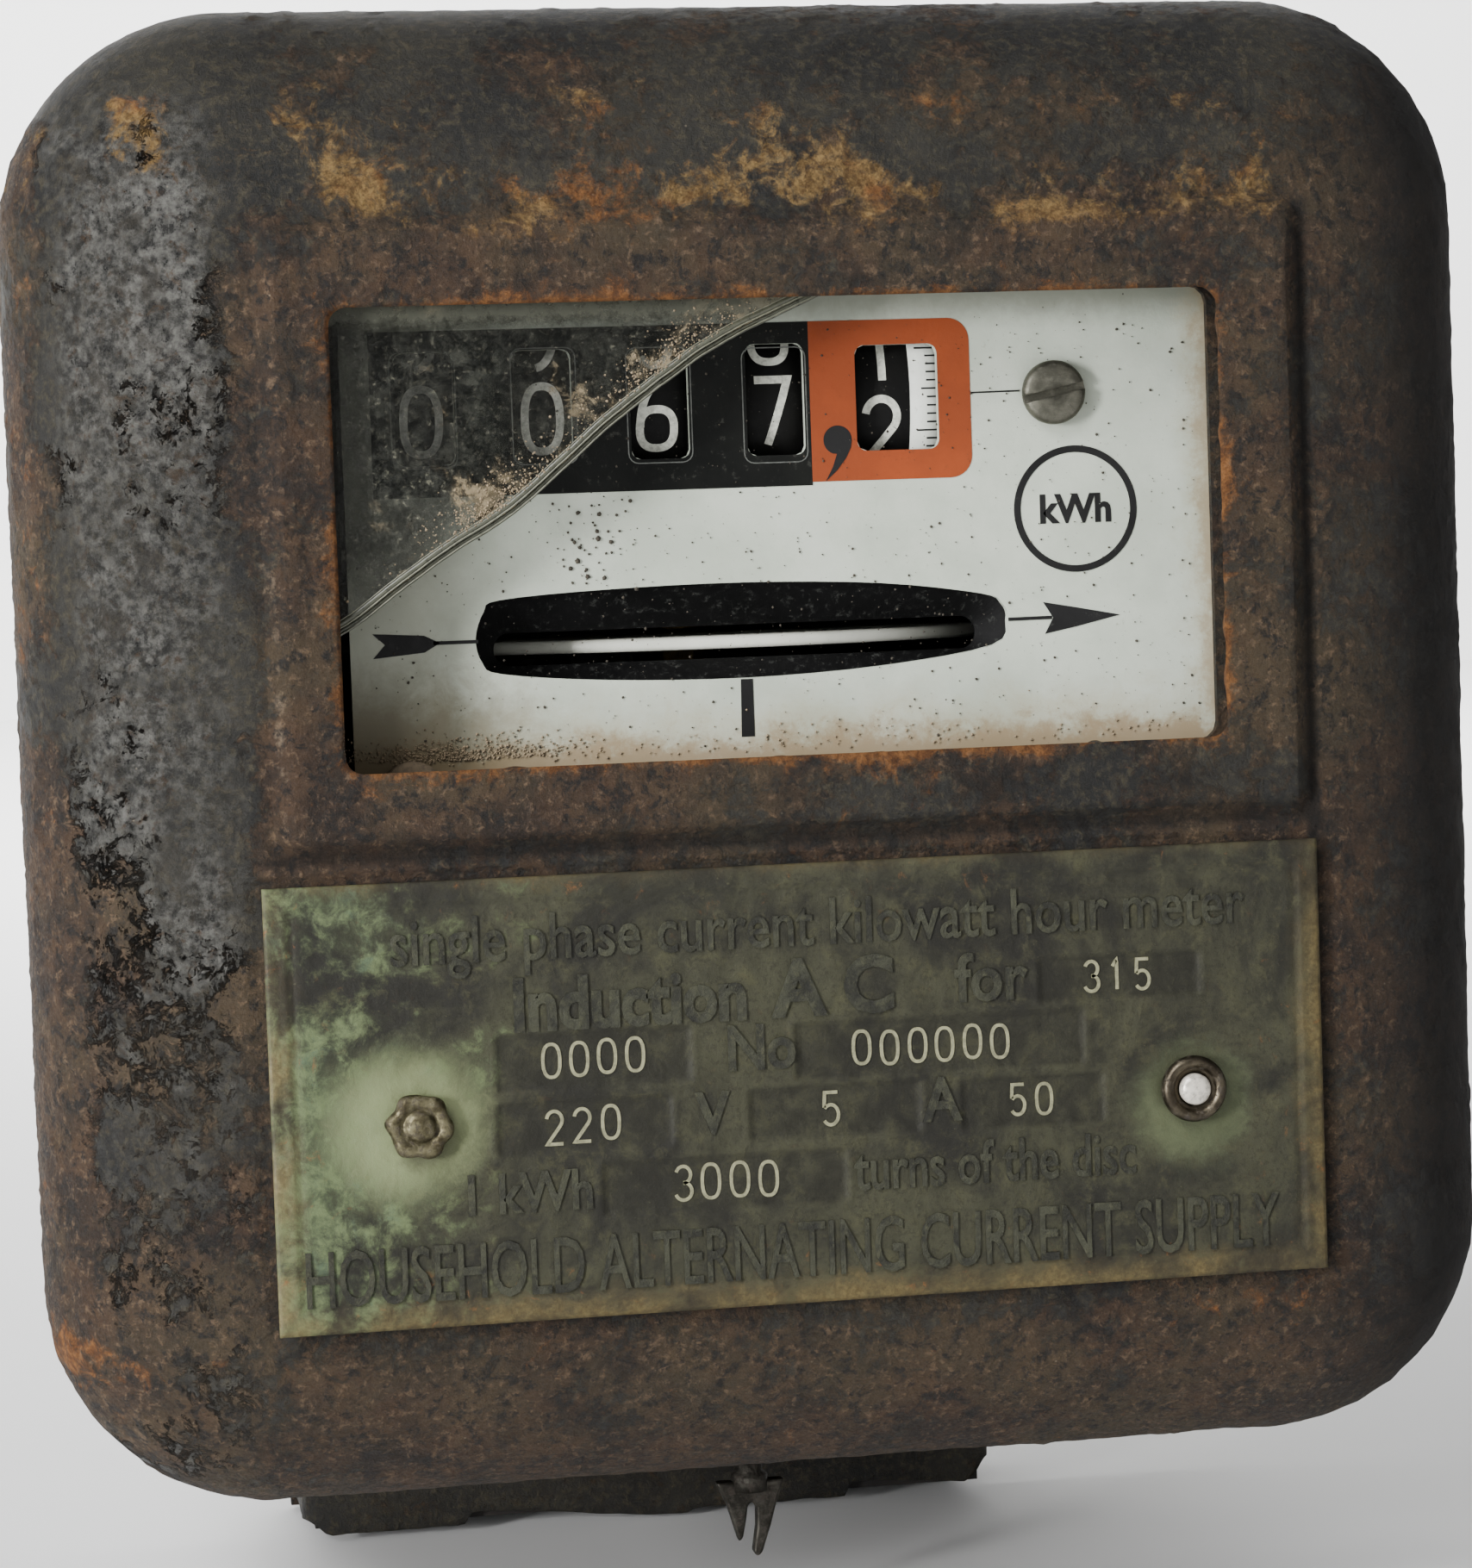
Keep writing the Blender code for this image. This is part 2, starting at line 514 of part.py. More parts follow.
def dial_parts():
    x0, x1, z0, z1 = DIAL_BOX
    outline = rounded((x0 + x1) / 2, (z0 + z1) / 2, x1 - x0, z1 - z0, 2.0)
    holes = [rounded(x, 31.0, 5.3, 10.0, 0.8, 2) for x in DRUM_X[:4]]
    holes.append(rounded(DRUM_X[4], 30.9, 7.6, 9.5, 0.9, 2))
    holes.append(slot_outline())
    holes += [circle(x, z, 1.5, 12) for x, z in SCREWS]
    extrude("dial_plate", "white", [outline] + holes, "Y", DIAL_FRONT_Y, DIAL_FRONT_Y + DIAL_THICK)
    for side, (x, z) in zip(("right", "left"), SCREWS):
        pillar = [(0.0, -1.8), (2.2, -1.8), (2.2, -83.9), (1.3, -83.9), (1.3, -78.0), (0.0, -78.0)]
        lathe("dial_pillar_" + side, "steel", pillar, "Y", x, z, 12)
        front = DIAL_FRONT_Y - 0.3
        shape = [(0.0, -78.3), (1.1, -78.3), (1.1, front), (2.9, front), (2.9, front - 0.7), (2.4, front - 1.2)]
        shape.append((0.0, front - 1.3))
        screw = lathe("dial_screw_" + side, "steel", shape, "Y", x, z, 16)
        cut(screw, box("slot", None, (x - 4, x + 4), (front - 2, front - 0.7), (z - 0.3, z + 0.3)))


def main():
    for obj in list(bpy.data.objects):
        bpy.data.objects.remove(obj)
    case_parts()
    terminal_parts()
    drive_parts()
    magnet_parts()
    register_parts()
    dial_parts()


main()
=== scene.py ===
"""The looks of the electricity meter: rusted case, broken pane, number drums, dial and data plate.

Lengths named here are millimetres unless they say otherwise; meshes are written in metres.
"""

import math
import random

import bmesh
import bpy
from mathutils import Matrix, Vector, noise
from mathutils.geometry import tessellate_polygon


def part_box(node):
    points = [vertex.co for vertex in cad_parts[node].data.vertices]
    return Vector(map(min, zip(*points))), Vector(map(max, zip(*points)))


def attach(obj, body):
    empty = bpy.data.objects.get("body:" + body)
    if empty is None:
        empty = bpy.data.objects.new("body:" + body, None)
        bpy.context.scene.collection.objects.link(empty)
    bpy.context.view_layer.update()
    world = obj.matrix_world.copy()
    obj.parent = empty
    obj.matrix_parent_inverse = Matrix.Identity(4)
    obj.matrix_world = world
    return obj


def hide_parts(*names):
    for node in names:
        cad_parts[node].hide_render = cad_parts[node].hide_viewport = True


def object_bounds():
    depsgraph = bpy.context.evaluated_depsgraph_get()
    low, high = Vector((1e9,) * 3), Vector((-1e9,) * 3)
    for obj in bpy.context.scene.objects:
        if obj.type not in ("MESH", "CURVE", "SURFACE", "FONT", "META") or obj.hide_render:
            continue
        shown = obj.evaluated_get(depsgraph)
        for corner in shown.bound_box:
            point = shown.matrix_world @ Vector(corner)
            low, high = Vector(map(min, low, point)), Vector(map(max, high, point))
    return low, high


MM = 0.001
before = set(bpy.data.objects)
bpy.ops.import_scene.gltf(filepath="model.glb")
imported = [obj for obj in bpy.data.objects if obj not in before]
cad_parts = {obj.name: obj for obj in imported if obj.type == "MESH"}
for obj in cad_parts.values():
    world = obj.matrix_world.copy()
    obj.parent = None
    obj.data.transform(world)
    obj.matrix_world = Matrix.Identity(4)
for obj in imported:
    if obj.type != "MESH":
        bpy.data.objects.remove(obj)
CAD_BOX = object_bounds()


def span(node):
    """A CAD node's low and high corner in millimetres."""
    low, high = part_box(node)
    return [v / MM for v in low], [v / MM for v in high]


def middle(node):
    """The middle of a CAD node's box in millimetres."""
    low, high = span(node)
    return [(a + b) / 2 for a, b in zip(low, high)]


COVER_LOW, COVER_HIGH = span("front_cover")
HALF = (COVER_HIGH[0] - COVER_LOW[0]) / 2  # half the cover's width
REAR_Y = COVER_HIGH[1]
PANEL_RISE = 0.9  # the panel round the window stands this far out of the cover's front
PANEL_Y = COVER_LOW[1]
FRONT_Y = PANEL_Y + PANEL_RISE
WALL = 1.2
CORNER = 20.4
EDGE_IN_PLAN = 23.0  # how far the rounded front edge reaches inwards
EDGE_IN_DEPTH = 16.8  # and backwards
PANEL = (0.8, 20.0, 92.2, 54.1, 1.5)  # middle x and z, width, height, corner radius
WINDOW = (0.06, 19.5, 79.1, 40.2, 1.6)
PLATE_LOW, PLATE_HIGH = span("nameplate")
PLATE_X, _, PLATE_Z = middle("nameplate")
DIAL_LOW, DIAL_HIGH = span("dial_plate")
DRUM_R = 12.0
DRUM_AXIS = (-71.5, 31.0)  # y and z
DRUM_STEPS = 144
RANDOM = random.Random(7)
MATS = {}  # every material by its name


# ---------------------------------------------------------------- mesh tools


def new_object(name, verts, faces, mats, smooth=True):
    """A mesh from points in millimetres, with its faces turned outwards and its materials by name."""
    mesh = bpy.data.meshes.new(name)
    mesh.from_pydata([tuple(c * MM for c in v) for v in verts], [], faces)
    mesh.validate()
    for mat in mats:
        mesh.materials.append(MATS[mat])
    if smooth:
        mesh.shade_smooth()
    bm = bmesh.new()
    bm.from_mesh(mesh)
    bmesh.ops.recalc_face_normals(bm, faces=bm.faces)
    bm.to_mesh(mesh)
    bm.free()
    return linked(name, mesh)


def linked(name, data):
    """An object for this mesh, light or camera, in the scene."""
    obj = bpy.data.objects.new(name, data)
    bpy.context.scene.collection.objects.link(obj)
    return obj


def put(obj, nodes=(), body="case"):
    """Rides a piece on its body and hides the CAD nodes that it stands for."""
    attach(obj, body)
    if nodes:
        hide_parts(*nodes)


def apply_modifiers(obj):
    graph = bpy.context.evaluated_depsgraph_get()
    mesh = bpy.data.meshes.new_from_object(obj.evaluated_get(graph))
    obj.modifiers.clear()
    old = obj.data
    obj.data = mesh
    bpy.data.meshes.remove(old)
    return obj


def thicken(obj, wall):
    """Gives a sheet a wall on its inner side."""
    thick = obj.modifiers.new("thick", "SOLIDIFY")
    thick.thickness = wall * MM
    thick.offset = -1.0
    return thick


def soften(obj, width):
    """Rounds the edges of a piece a little."""
    soft = obj.modifiers.new("soft_edges", "BEVEL")
    soft.width = width * MM
    soft.segments = 2
    return soft


def circle(a, b, r, n, start=0.0, turn=2 * math.pi):
    angles = [start + turn * i / n for i in range(n)]
    return [(a + r * math.cos(t), b + r * math.sin(t)) for t in angles]


def at_depth(y):
    """Places a flat point (x, z) at a depth."""
    return lambda x, z: (x, y, z)


def raised(base, *points):
    """Points whose second coordinate is measured from a base."""
    return [(a, base + b) for a, b in points]


def rounded(a, b, width, height, r, n):
    loop = []
    for sa, sb, start in ((1, 1, 0), (-1, 1, 90), (-1, -1, 180), (1, -1, 270)):
        for i in range(n + 1):
            turn = math.radians(start + 90 * i / n)
            x = a + sa * (width / 2 - r) + r * math.cos(turn)
            z = b + sb * (height / 2 - r) + r * math.sin(turn)
            loop.append((x, z))
    return loop


def band(n, one, two):
    """Quads between two closed rings of n points, which start at the points one and two."""
    return [(one + i, one + (i + 1) % n, two + (i + 1) % n, two + i) for i in range(n)]


def grid_faces(across, rows):
    """Quads between rows of points, each row across quads long."""
    corners = [row * (across + 1) + k for row in range(rows) for k in range(across)]
    return [(i, i + 1, i + across + 2, i + across + 1) for i in corners]


def face_forward(mesh):
    """Turns an open sheet so that its faces look to the front."""
    if sum(v.normal.y for v in mesh.vertices) > 0:
        mesh.flip_normals()


def slab(name, loops, y0, y1, mat):
    """An outline in X and Z, with any holes after it, between two depths."""
    flat = [p for loop in loops for p in loop]
    count = len(flat)
    verts = [(x, y0, z) for x, z in flat] + [(x, y1, z) for x, z in flat]
    caps = tessellate_polygon([[Vector((x, z, 0.0)) for x, z in loop] for loop in loops])
    faces = [tuple(t) for t in caps] + [tuple(i + count for i in reversed(t)) for t in caps]
    start = 0
    for loop in loops:
        faces += band(len(loop), start, start + count)
        start += len(loop)
    return new_object(name, verts, faces, [mat], smooth=False)


def turned(name, profile, axis, a, b, mat, n, bend=None):
    """A closed profile of (radius, height) turned about an axis; bend moves each point a little."""
    verts = []
    rings = []
    for r, h in profile:
        ring = []
        for i in range(1 if r == 0 else n):
            t = 2 * math.pi * i / n
            p, q = a + r * math.cos(t), b + r * math.sin(t)
            v = {"X": (h, p, q), "Y": (p, h, q), "Z": (p, q, h)}[axis]
            ring.append(len(verts))
            verts.append(bend(v) if bend else v)
        rings.append(ring if r else ring * n)
    faces = []
    for one, two in zip(rings, rings[1:] + rings[:1]):
        for i in range(n):
            j = (i + 1) % n
            corners = list(dict.fromkeys((one[i], one[j], two[j], two[i])))
            if len(corners) > 2:
                faces.append(tuple(corners))
    return new_object(name, verts, faces, [mat])


def smoothstep(a, b, x):
    t = min(max((x - a) / (b - a), 0.0), 1.0)
    return t * t * (3 - 2 * t)


def bell(distance, reach):
    """A hump of height 1 that fades within about twice its reach."""
    return math.exp(-((distance / reach) ** 2))


def fbm(x, y, z, size, octaves, seed):
    """Fractal noise from about -1 to 1; size is the largest feature in millimetres."""
    return noise.fractal((x / size + seed, y / size - seed, z / size + 2 * seed), 0.9, 2.1, octaves)


def outside_box(x, z, shape):
    """Distance outside a rounded rectangle, negative inside."""
    cx, cz, width, height, r = shape
    qx = abs(x - cx) - width / 2 + r
    qz = abs(z - cz) - height / 2 + r
    return math.hypot(max(qx, 0), max(qz, 0)) + min(max(qx, qz), 0) - r


# ---------------------------------------------------------------- materials


class Nodes:
    """A short way to wire up one material."""

    def __init__(self, name):
        self.mat = MATS[name] = bpy.data.materials.new(name)
        self.mat.use_nodes = True
        self.tree = self.mat.node_tree
        self.shader = self.tree.nodes["Principled BSDF"]
        self.coord = self.tree.nodes.new("ShaderNodeTexCoord").outputs["Object"]

    def link(self, value, socket):
        if isinstance(value, bpy.types.NodeSocket):
            self.tree.links.new(value, socket)
        elif socket.type == "RGBA":
            socket.default_value = (*value, 1.0)
        else:
            socket.default_value = value

    def noise(self, size, detail=4.0, rough=0.6, warp=0.0, stretch=None, offset=None):
        """Noise whose largest feature is about size millimetres."""
        coord = self.coord
        if stretch or offset:
            mapping = self.tree.nodes.new("ShaderNodeMapping")
            mapping.inputs["Scale"].default_value = stretch or (1, 1, 1)
            mapping.inputs["Location"].default_value = offset or (0, 0, 0)
            self.link(coord, mapping.inputs["Vector"])
            coord = mapping.outputs["Vector"]
        node = self.tree.nodes.new("ShaderNodeTexNoise")
        node.inputs["Scale"].default_value = 1 / (size * MM)
        node.inputs["Detail"].default_value = detail
        node.inputs["Roughness"].default_value = rough
        node.inputs["Distortion"].default_value = warp
        self.link(coord, node.inputs["Vector"])
        return node.outputs["Fac"]

    def cells(self, size):
        node = self.tree.nodes.new("ShaderNodeTexVoronoi")
        node.inputs["Scale"].default_value = 1 / (size * MM)
        self.link(self.coord, node.inputs["Vector"])
        return node.outputs["Distance"]

    def mark(self, name):
        """A value stored on the mesh's points, or 0 where there is none."""
        node = self.tree.nodes.new("ShaderNodeAttribute")
        node.attribute_name = name
        return node.outputs["Fac"]

    def axis(self, index):
        """A coordinate in metres."""
        node = self.tree.nodes.new("ShaderNodeSeparateXYZ")
        self.link(self.coord, node.inputs[0])
        return node.outputs[index]

    def mm(self, index):
        """A coordinate in millimetres."""
        return self.math("DIVIDE", self.axis(index), MM)

    def math(self, operation, a, b=0.0, clamp=False):
        node = self.tree.nodes.new("ShaderNodeMath")
        node.operation = operation
        node.use_clamp = clamp
        self.link(a, node.inputs[0])
        self.link(b, node.inputs[1])
        return node.outputs[0]

    def add(self, a, b):
        return self.math("ADD", a, b)

    def less(self, a, b):
        return self.math("SUBTRACT", a, b)

    def times(self, a, b):
        return self.math("MULTIPLY", a, b)

    def most(self, a, b, clamp=False):
        return self.math("MAXIMUM", a, b, clamp)

    def least(self, a, b):
        return self.math("MINIMUM", a, b)

    def sway(self, value, amount):
        """How far a noise swings from its middle, times an amount."""
        return self.times(self.less(value, 0.5), amount)

    def ramp(self, value, low, high, start=0.0, end=1.0):
        """Maps low..high smoothly to start..end."""
        node = self.tree.nodes.new("ShaderNodeMapRange")
        node.interpolation_type = "SMOOTHSTEP"
        for socket, v in zip(node.inputs[1:5], (low, high, start, end)):
            socket.default_value = v
        self.link(value, node.inputs[0])
        return node.outputs[0]

    def mix(self, factor, a, b):
        node = self.tree.nodes.new("ShaderNodeMix")
        node.data_type = "RGBA"
        self.link(factor, node.inputs[0])
        self.link(a, node.inputs[6])
        self.link(b, node.inputs[7])
        return node.outputs[2]

    def blend(self, factor, a, b):
        node = self.tree.nodes.new("ShaderNodeMix")
        self.link(factor, node.inputs[0])
        self.link(a, node.inputs[2])
        self.link(b, node.inputs[3])
        return node.outputs[0]

    def bump(self, height, depth, normal=None):
        """Bump of the given depth in millimetres for height 0..1."""
        node = self.tree.nodes.new("ShaderNodeBump")
        node.inputs["Distance"].default_value = depth * MM
        node.inputs["Strength"].default_value = 1.0
        self.link(height, node.inputs["Height"])
        if normal:
            self.link(normal, node.inputs["Normal"])
        return node.outputs["Normal"]

    def done(self, colour, rough, metal=0.0, normal=None, **fixed):
        self.link(colour, self.shader.inputs["Base Color"])
        self.link(rough, self.shader.inputs["Roughness"])
        self.link(metal, self.shader.inputs["Metallic"])
        if normal:
            self.link(normal, self.shader.inputs["Normal"])
        for name, value in fixed.items():
            self.link(value, self.shader.inputs[name.replace("_", " ")])


def rusty_enamel(name, rusted=0.0, bloomed=0.0):
    """Black enamel over steel: rust, ochre bloom, dust, a painted highlight and painted shade follow the
    marks stored on the mesh.

    A piece without marks gives its amount of rust and bloom here.
    """
    n = Nodes(name)
    fine = n.noise(1.1, 6, 0.72)
    grain = n.noise(0.38, 5, 0.75)
    grit = n.noise(0.9, 7, 0.78, warp=0.3)
    patch = n.noise(5.5, 7, 0.7, warp=0.5)
    tone = n.noise(15.0, 6, 0.65)

    paint = n.mix(n.ramp(tone, 0.36, 0.64), (0.005, 0.005, 0.0045), (0.018, 0.0165, 0.012))
    paint = n.mix(n.ramp(grit, 0.46, 0.66, 0.0, 0.75), paint, (0.055, 0.045, 0.024))
    metal = n.mix(n.ramp(fine, 0.36, 0.66), (0.014, 0.014, 0.0132), (0.09, 0.088, 0.08))
    metal = n.mix(n.ramp(n.noise(1.5, 7, 0.75, warp=0.5), 0.54, 0.66, 0.0, 0.8), metal, (0.04, 0.024, 0.013))
    metal = n.mix(n.ramp(n.noise(3.6, 7, 0.75, warp=0.5), 0.5, 0.64, 0.0, 0.7), metal, (0.024, 0.021, 0.017))
    patchy = n.sway(patch, 1.6)
    worn = n.ramp(n.add(n.mark("worn"), patchy), 0.15, 1.1)
    base = n.mix(worn, paint, metal)

    deep = n.mix(n.ramp(patch, 0.34, 0.66), (0.011, 0.0063, 0.0035), (0.048, 0.0255, 0.0115))
    deep = n.mix(n.ramp(tone, 0.4, 0.62, 0.0, 0.6), deep, (0.046, 0.034, 0.016))
    deep = n.mix(n.ramp(grit, 0.51, 0.66, 0.0, 0.85), deep, (0.12, 0.077, 0.044))
    deep = n.mix(n.ramp(n.noise(1.4, 7, 0.78, warp=0.4), 0.5, 0.6, 0.0, 0.9), deep, (0.005, 0.0042, 0.0034))
    edge = n.sway(n.noise(2.0, 8, 0.8, warp=0.4), 2.1)
    rust = n.ramp(n.add(n.mark("rust"), edge), 0.36 - rusted, 0.62 - rusted)
    colour = n.mix(rust, base, deep)

    bloom_edge = n.sway(n.noise(2.6, 8, 0.78, warp=0.5), 2.4)
    bloom = n.ramp(n.add(n.mark("bloom"), bloom_edge), 0.42 - bloomed, 0.85 - bloomed)
    ochre = n.mix(n.ramp(grit, 0.38, 0.62), (0.09, 0.048, 0.013), (0.26, 0.165, 0.06))
    orange = n.mix(n.ramp(grit, 0.38, 0.62), (0.085, 0.031, 0.008), (0.22, 0.09, 0.024))
    ochre = n.mix(n.ramp(n.axis(2), 0.042, 0.047), orange, n.mix(n.ramp(tone, 0.5, 0.62), ochre, orange))
    colour = n.mix(n.times(bloom, 0.8), colour, ochre)

    # Dust, and along the panel's left edge a pale run that is partly a painted highlight of that raised edge.
    dust_and_highlight_edge = n.sway(n.noise(1.6, 7, 0.76), 2.2)
    dust_and_highlight = n.ramp(n.add(n.mark("dust_and_highlight"), dust_and_highlight_edge), 0.4, 0.85)
    colour = n.mix(n.times(dust_and_highlight, 0.7), colour, (0.2, 0.15, 0.1))
    specks = n.ramp(n.cells(1.7), 0.03, 0.08, 1.0, 0.0)
    colour = n.mix(n.times(specks, n.ramp(patch, 0.5, 0.6, 0.0, 0.5)), colour, (0.22, 0.18, 0.13))
    # Painted shade from its mark: the grooves, the right band, the foot, the top and beside the plate go near
    # black.
    painted_shade = n.ramp(n.add(n.mark("painted_shade"), n.times(edge, 0.35)), 0.1, 0.95)
    colour = n.mix(n.times(painted_shade, 0.9), colour, (0.006, 0.005, 0.004))

    rough = n.blend(worn, 0.55, n.ramp(fine, 0.35, 0.7, 0.24, 0.42))
    rough = n.blend(rust, rough, n.ramp(grain, 0.3, 0.7, 0.6, 0.85))
    rough = n.blend(n.most(bloom, n.most(dust_and_highlight, painted_shade)), rough, 0.92)
    shine = n.times(n.less(1.0, rust), n.times(worn, 0.85))
    polish = n.less(0.6, n.times(rust, 0.5))
    calm = n.less(1.0, n.times(worn, polish))
    relief = n.add(n.times(rust, 0.16), n.times(grit, 0.6))
    normal = n.bump(n.times(relief, calm), 0.8)
    normal = n.bump(n.times(grain, calm), 0.2, normal)
    n.done(colour, rough, shine, normal, Specular_IOR_Level=0.3)


def plain_rust(name, dark, light, size, fleck):
    """Matt rust in two tones with flecks."""
    n = Nodes(name)
    patch = n.noise(size, 7, 0.72, warp=0.4)
    grain = n.noise(0.7, 6, 0.75)
    colour = n.mix(n.ramp(patch, 0.36, 0.64), dark, light)
    colour = n.mix(n.ramp(grain, 0.5, 0.72, 0.0, 0.7), colour, fleck)
    normal = n.bump(n.add(patch, n.times(grain, 0.5)), 0.25)
    n.done(colour, n.ramp(grain, 0.3, 0.7, 0.6, 0.9), 0.0, normal, Specular_IOR_Level=0.25)


def old_metal(name, light, dark, rough, grime, amount, size):
    """Bare metal with tarnish in patches and fine scratches."""
    n = Nodes(name)
    patch = n.noise(size, 6, 0.68)
    scratch = n.noise(0.7, 4, 0.7, stretch=(1.0, 1.0, 9.0))
    colour = n.mix(n.ramp(patch, 0.35, 0.65), dark, light)
    soil = n.ramp(n.noise(size * 0.6, 6, 0.75, warp=0.5), 0.62 - 0.2 * amount, 0.78 - 0.2 * amount)
    colour = n.mix(n.times(soil, 0.85), colour, grime)
    roughness = n.blend(soil, n.ramp(scratch, 0.3, 0.7, rough - 0.08, rough + 0.12), 0.85)
    metal = n.less(1.0, n.times(soil, 0.9))
    normal = n.bump(n.add(n.times(scratch, 0.4), n.times(soil, 0.6)), 0.04)
    n.done(colour, roughness, metal, normal)


def flat_paint(name, colour, second, rough, speck=(0.08, 0.08, 0.07), gloss=0.5, clean=0.6):
    """Printed or painted sheet with faint cloudiness, dust and worn specks; less clean means more dust."""
    n = Nodes(name)
    cloud = n.noise(9.0, 5, 0.6)
    fine = n.noise(0.8, 6, 0.75)
    out = n.mix(n.ramp(cloud, 0.35, 0.65), colour, second)
    out = n.mix(n.ramp(fine, clean, clean + 0.14, 0.0, 0.6), out, speck)
    out_rough = n.ramp(fine, 0.3, 0.7, rough - 0.05, rough + 0.2)
    n.done(out, out_rough, 0.0, n.bump(fine, 0.02), Specular_IOR_Level=gloss)


# ---------------------------------------------------------------- front cover


COVER_SIDE_CELLS = 170
GRID_HALF = 43.0
GRID_INSET = HALF - GRID_HALF


def ring_points(half, corner, cells):
    """Points at equal steps round a rounded square, from the middle of its lower right corner."""
    straight = 2 * (half - corner)
    bend = corner * math.pi / 4
    length = straight + 2 * bend
    points = []
    for side in range(4):
        turn = Matrix.Rotation(side * math.pi / 2, 2)
        for i in range(cells):
            s = i / cells * length
            if s < bend:
                t = -math.pi / 4 + s / max(corner, 1e-9)
                p = (half - corner + corner * math.cos(t), -half + corner + corner * math.sin(t))
            elif s < bend + straight:
                p = (half, -half + corner + s - bend)
            else:
                t = (s - bend - straight) / max(corner, 1e-9)
                p = (half - corner + corner * math.cos(t), half - corner + corner * math.sin(t))
            points.append(tuple(turn @ Vector(p)))
    return points


def cover_stations():
    """(inset, depth) from the rear rim, along the side and round the edge to the flat front."""
    straight_end = FRONT_Y + EDGE_IN_DEPTH
    along_side, round_edge = 66, 38
    stations = [(0.0, REAR_Y + (straight_end - REAR_Y) * i / along_side) for i in range(along_side)]
    for i in range(round_edge + 1):
        t = math.pi / 2 * i / round_edge
        stations.append((EDGE_IN_PLAN * (1 - math.cos(t)), FRONT_Y + EDGE_IN_DEPTH * (1 - math.sin(t))))
    return stations


def panel_frame(x, y, z):
    """Distance outside the raised panel, and how far the point counts as being on the front at all."""
    return outside_box(x, z, PANEL), 1.0 if y < FRONT_Y + 4 else 0.0


def cover_marks(x, y, z):
    """How rusty, bloomed, worn and dusty the cover is at a point, and where highlight and shade are painted
    on it, mostly from 0 to 1.
    """
    edge, front = panel_frame(x, y, z)
    on_panel = front * (1 - smoothstep(-1.0, 1.5, edge))
    left = smoothstep(-45, -52, x)
    right = smoothstep(46, 53, x)
    top = smoothstep(46, 53, z)
    bottom = smoothstep(-47, -54, z)
    cloud = fbm(x, y, z, 22, 4, 3.1)
    small = fbm(x, y, z, 9, 5, 8.4)
    low_left = smoothstep(15, -50, z)

    # Rust: a base everywhere, then the top band, the left band with its side, the right band, foot and panel.
    rust = 0.6 + 0.25 * cloud + 0.25 * small
    rust = rust * (1 - top) + (0.3 + 0.3 * cloud + 0.3 * small) * top
    side = smoothstep(-60.5, -65.5, x)
    left_rust = 0.06 + 0.55 * low_left + 0.35 * cloud + 0.4 * small
    left_rust += 0.6 * side + 0.25 * smoothstep(50, 62, z) * (0.5 + small)
    rust = rust * (1 - left) + left_rust * left
    rust = rust * (1 - right) + (0.55 + 0.3 * cloud + 0.25 * small) * right
    rust = max(rust, (0.72 + 0.2 * small) * bottom * (1 - 0.4 * left))
    rust = max(rust, on_panel * (0.72 + 0.35 * small))
    under = bell(z + 4.2, 3.0) * smoothstep(-25, 12, x) * on_panel
    rust -= 0.35 * under

    # Paint rubbed off down the left band, less on its rusty side and foot.
    worn = left * (0.9 + 0.4 * cloud) * smoothstep(64, 54, z)
    worn *= (1 - 0.95 * side) * (1 - 0.45 * low_left)

    # Pale bloom: the ridge over the panel, its upper corner, round the window, over and under the plate.
    ridge = bell(z - 48.8 + 0.02 * x, 3.2) * smoothstep(-49, -34, x) * smoothstep(52, 40, x)
    upper = bell(z - 56, 6) * (0.22 + 0.3 * small) * smoothstep(-66, -44, x)
    bloom = 0.6 * ridge * (0.9 + 0.9 * small) + upper
    around = math.exp(-max(outside_box(x, z, WINDOW), 0) / 1.3)
    bloom += on_panel * around * (0.6 + 0.4 * small)
    bloom += on_panel * (0.14 + 0.22 * cloud)
    bloom += 0.26 * bell(z + 9.0, 2.0) * smoothstep(-47, -30, x) * smoothstep(50, 40, x)
    bloom += 0.3 * bell(z + 51.5, 2.5) * smoothstep(30, 47, abs(x + 8)) * (1 - right)
    bloom += 0.5 * math.exp(-(((x + 53) / 11) ** 2 + ((z - 56) / 6) ** 2)) * (0.6 + small)
    bloom += 0.3 * side * (0.8 + small) + 0.16 * bottom * (1 + small)

    # Dust and painted highlight: a thin pale run along the panel's left edge, tan dirt with a painted
    # highlight of that raised edge, and a dust patch in the lower left corner.
    streak = bell(x + 45.0 + 0.02 * z, 0.9) * smoothstep(-9, -2, z) * smoothstep(47, 20, z)
    dust_and_highlight = 0.5 * streak + 0.4 * math.exp(-(((x + 52) / 3) ** 2 + ((z + 57) / 2) ** 2))

    # Painted shade: in the groove round the panel, over the right band, the foot and the top, a painted
    # shadow beside the plate, and darker over a band low on the panel.
    px, pz, width, height, _ = PANEL
    right_groove = bell(x - px - width / 2 - 0.9, 0.8)
    right_groove *= smoothstep(49, 46, z) * smoothstep(-12, -8, z)
    low_groove = bell(z - pz + height / 2 + 0.9, 0.9) * smoothstep(50, 46, abs(x))
    top_groove = bell(z - pz - height / 2 - 0.6, 0.7) * smoothstep(49, 46, abs(x))
    painted_shade = front * (0.8 * right_groove + 0.65 * low_groove + 0.3 * top_groove)
    painted_shade += 0.5 * right * smoothstep(52, 62, x) + 0.34 * right + 0.12 * bottom * smoothstep(-30, 40, x)
    painted_shade += 0.3 * top * (0.6 + cloud)
    painted_shade += 0.5 * front * bell(x - 47.9, 0.5) * smoothstep(-8, -10, z) * smoothstep(-51, -49, z)
    painted_shade += 0.55 * under * (0.6 + small)
    return rust, bloom, worn, dust_and_highlight, painted_shade


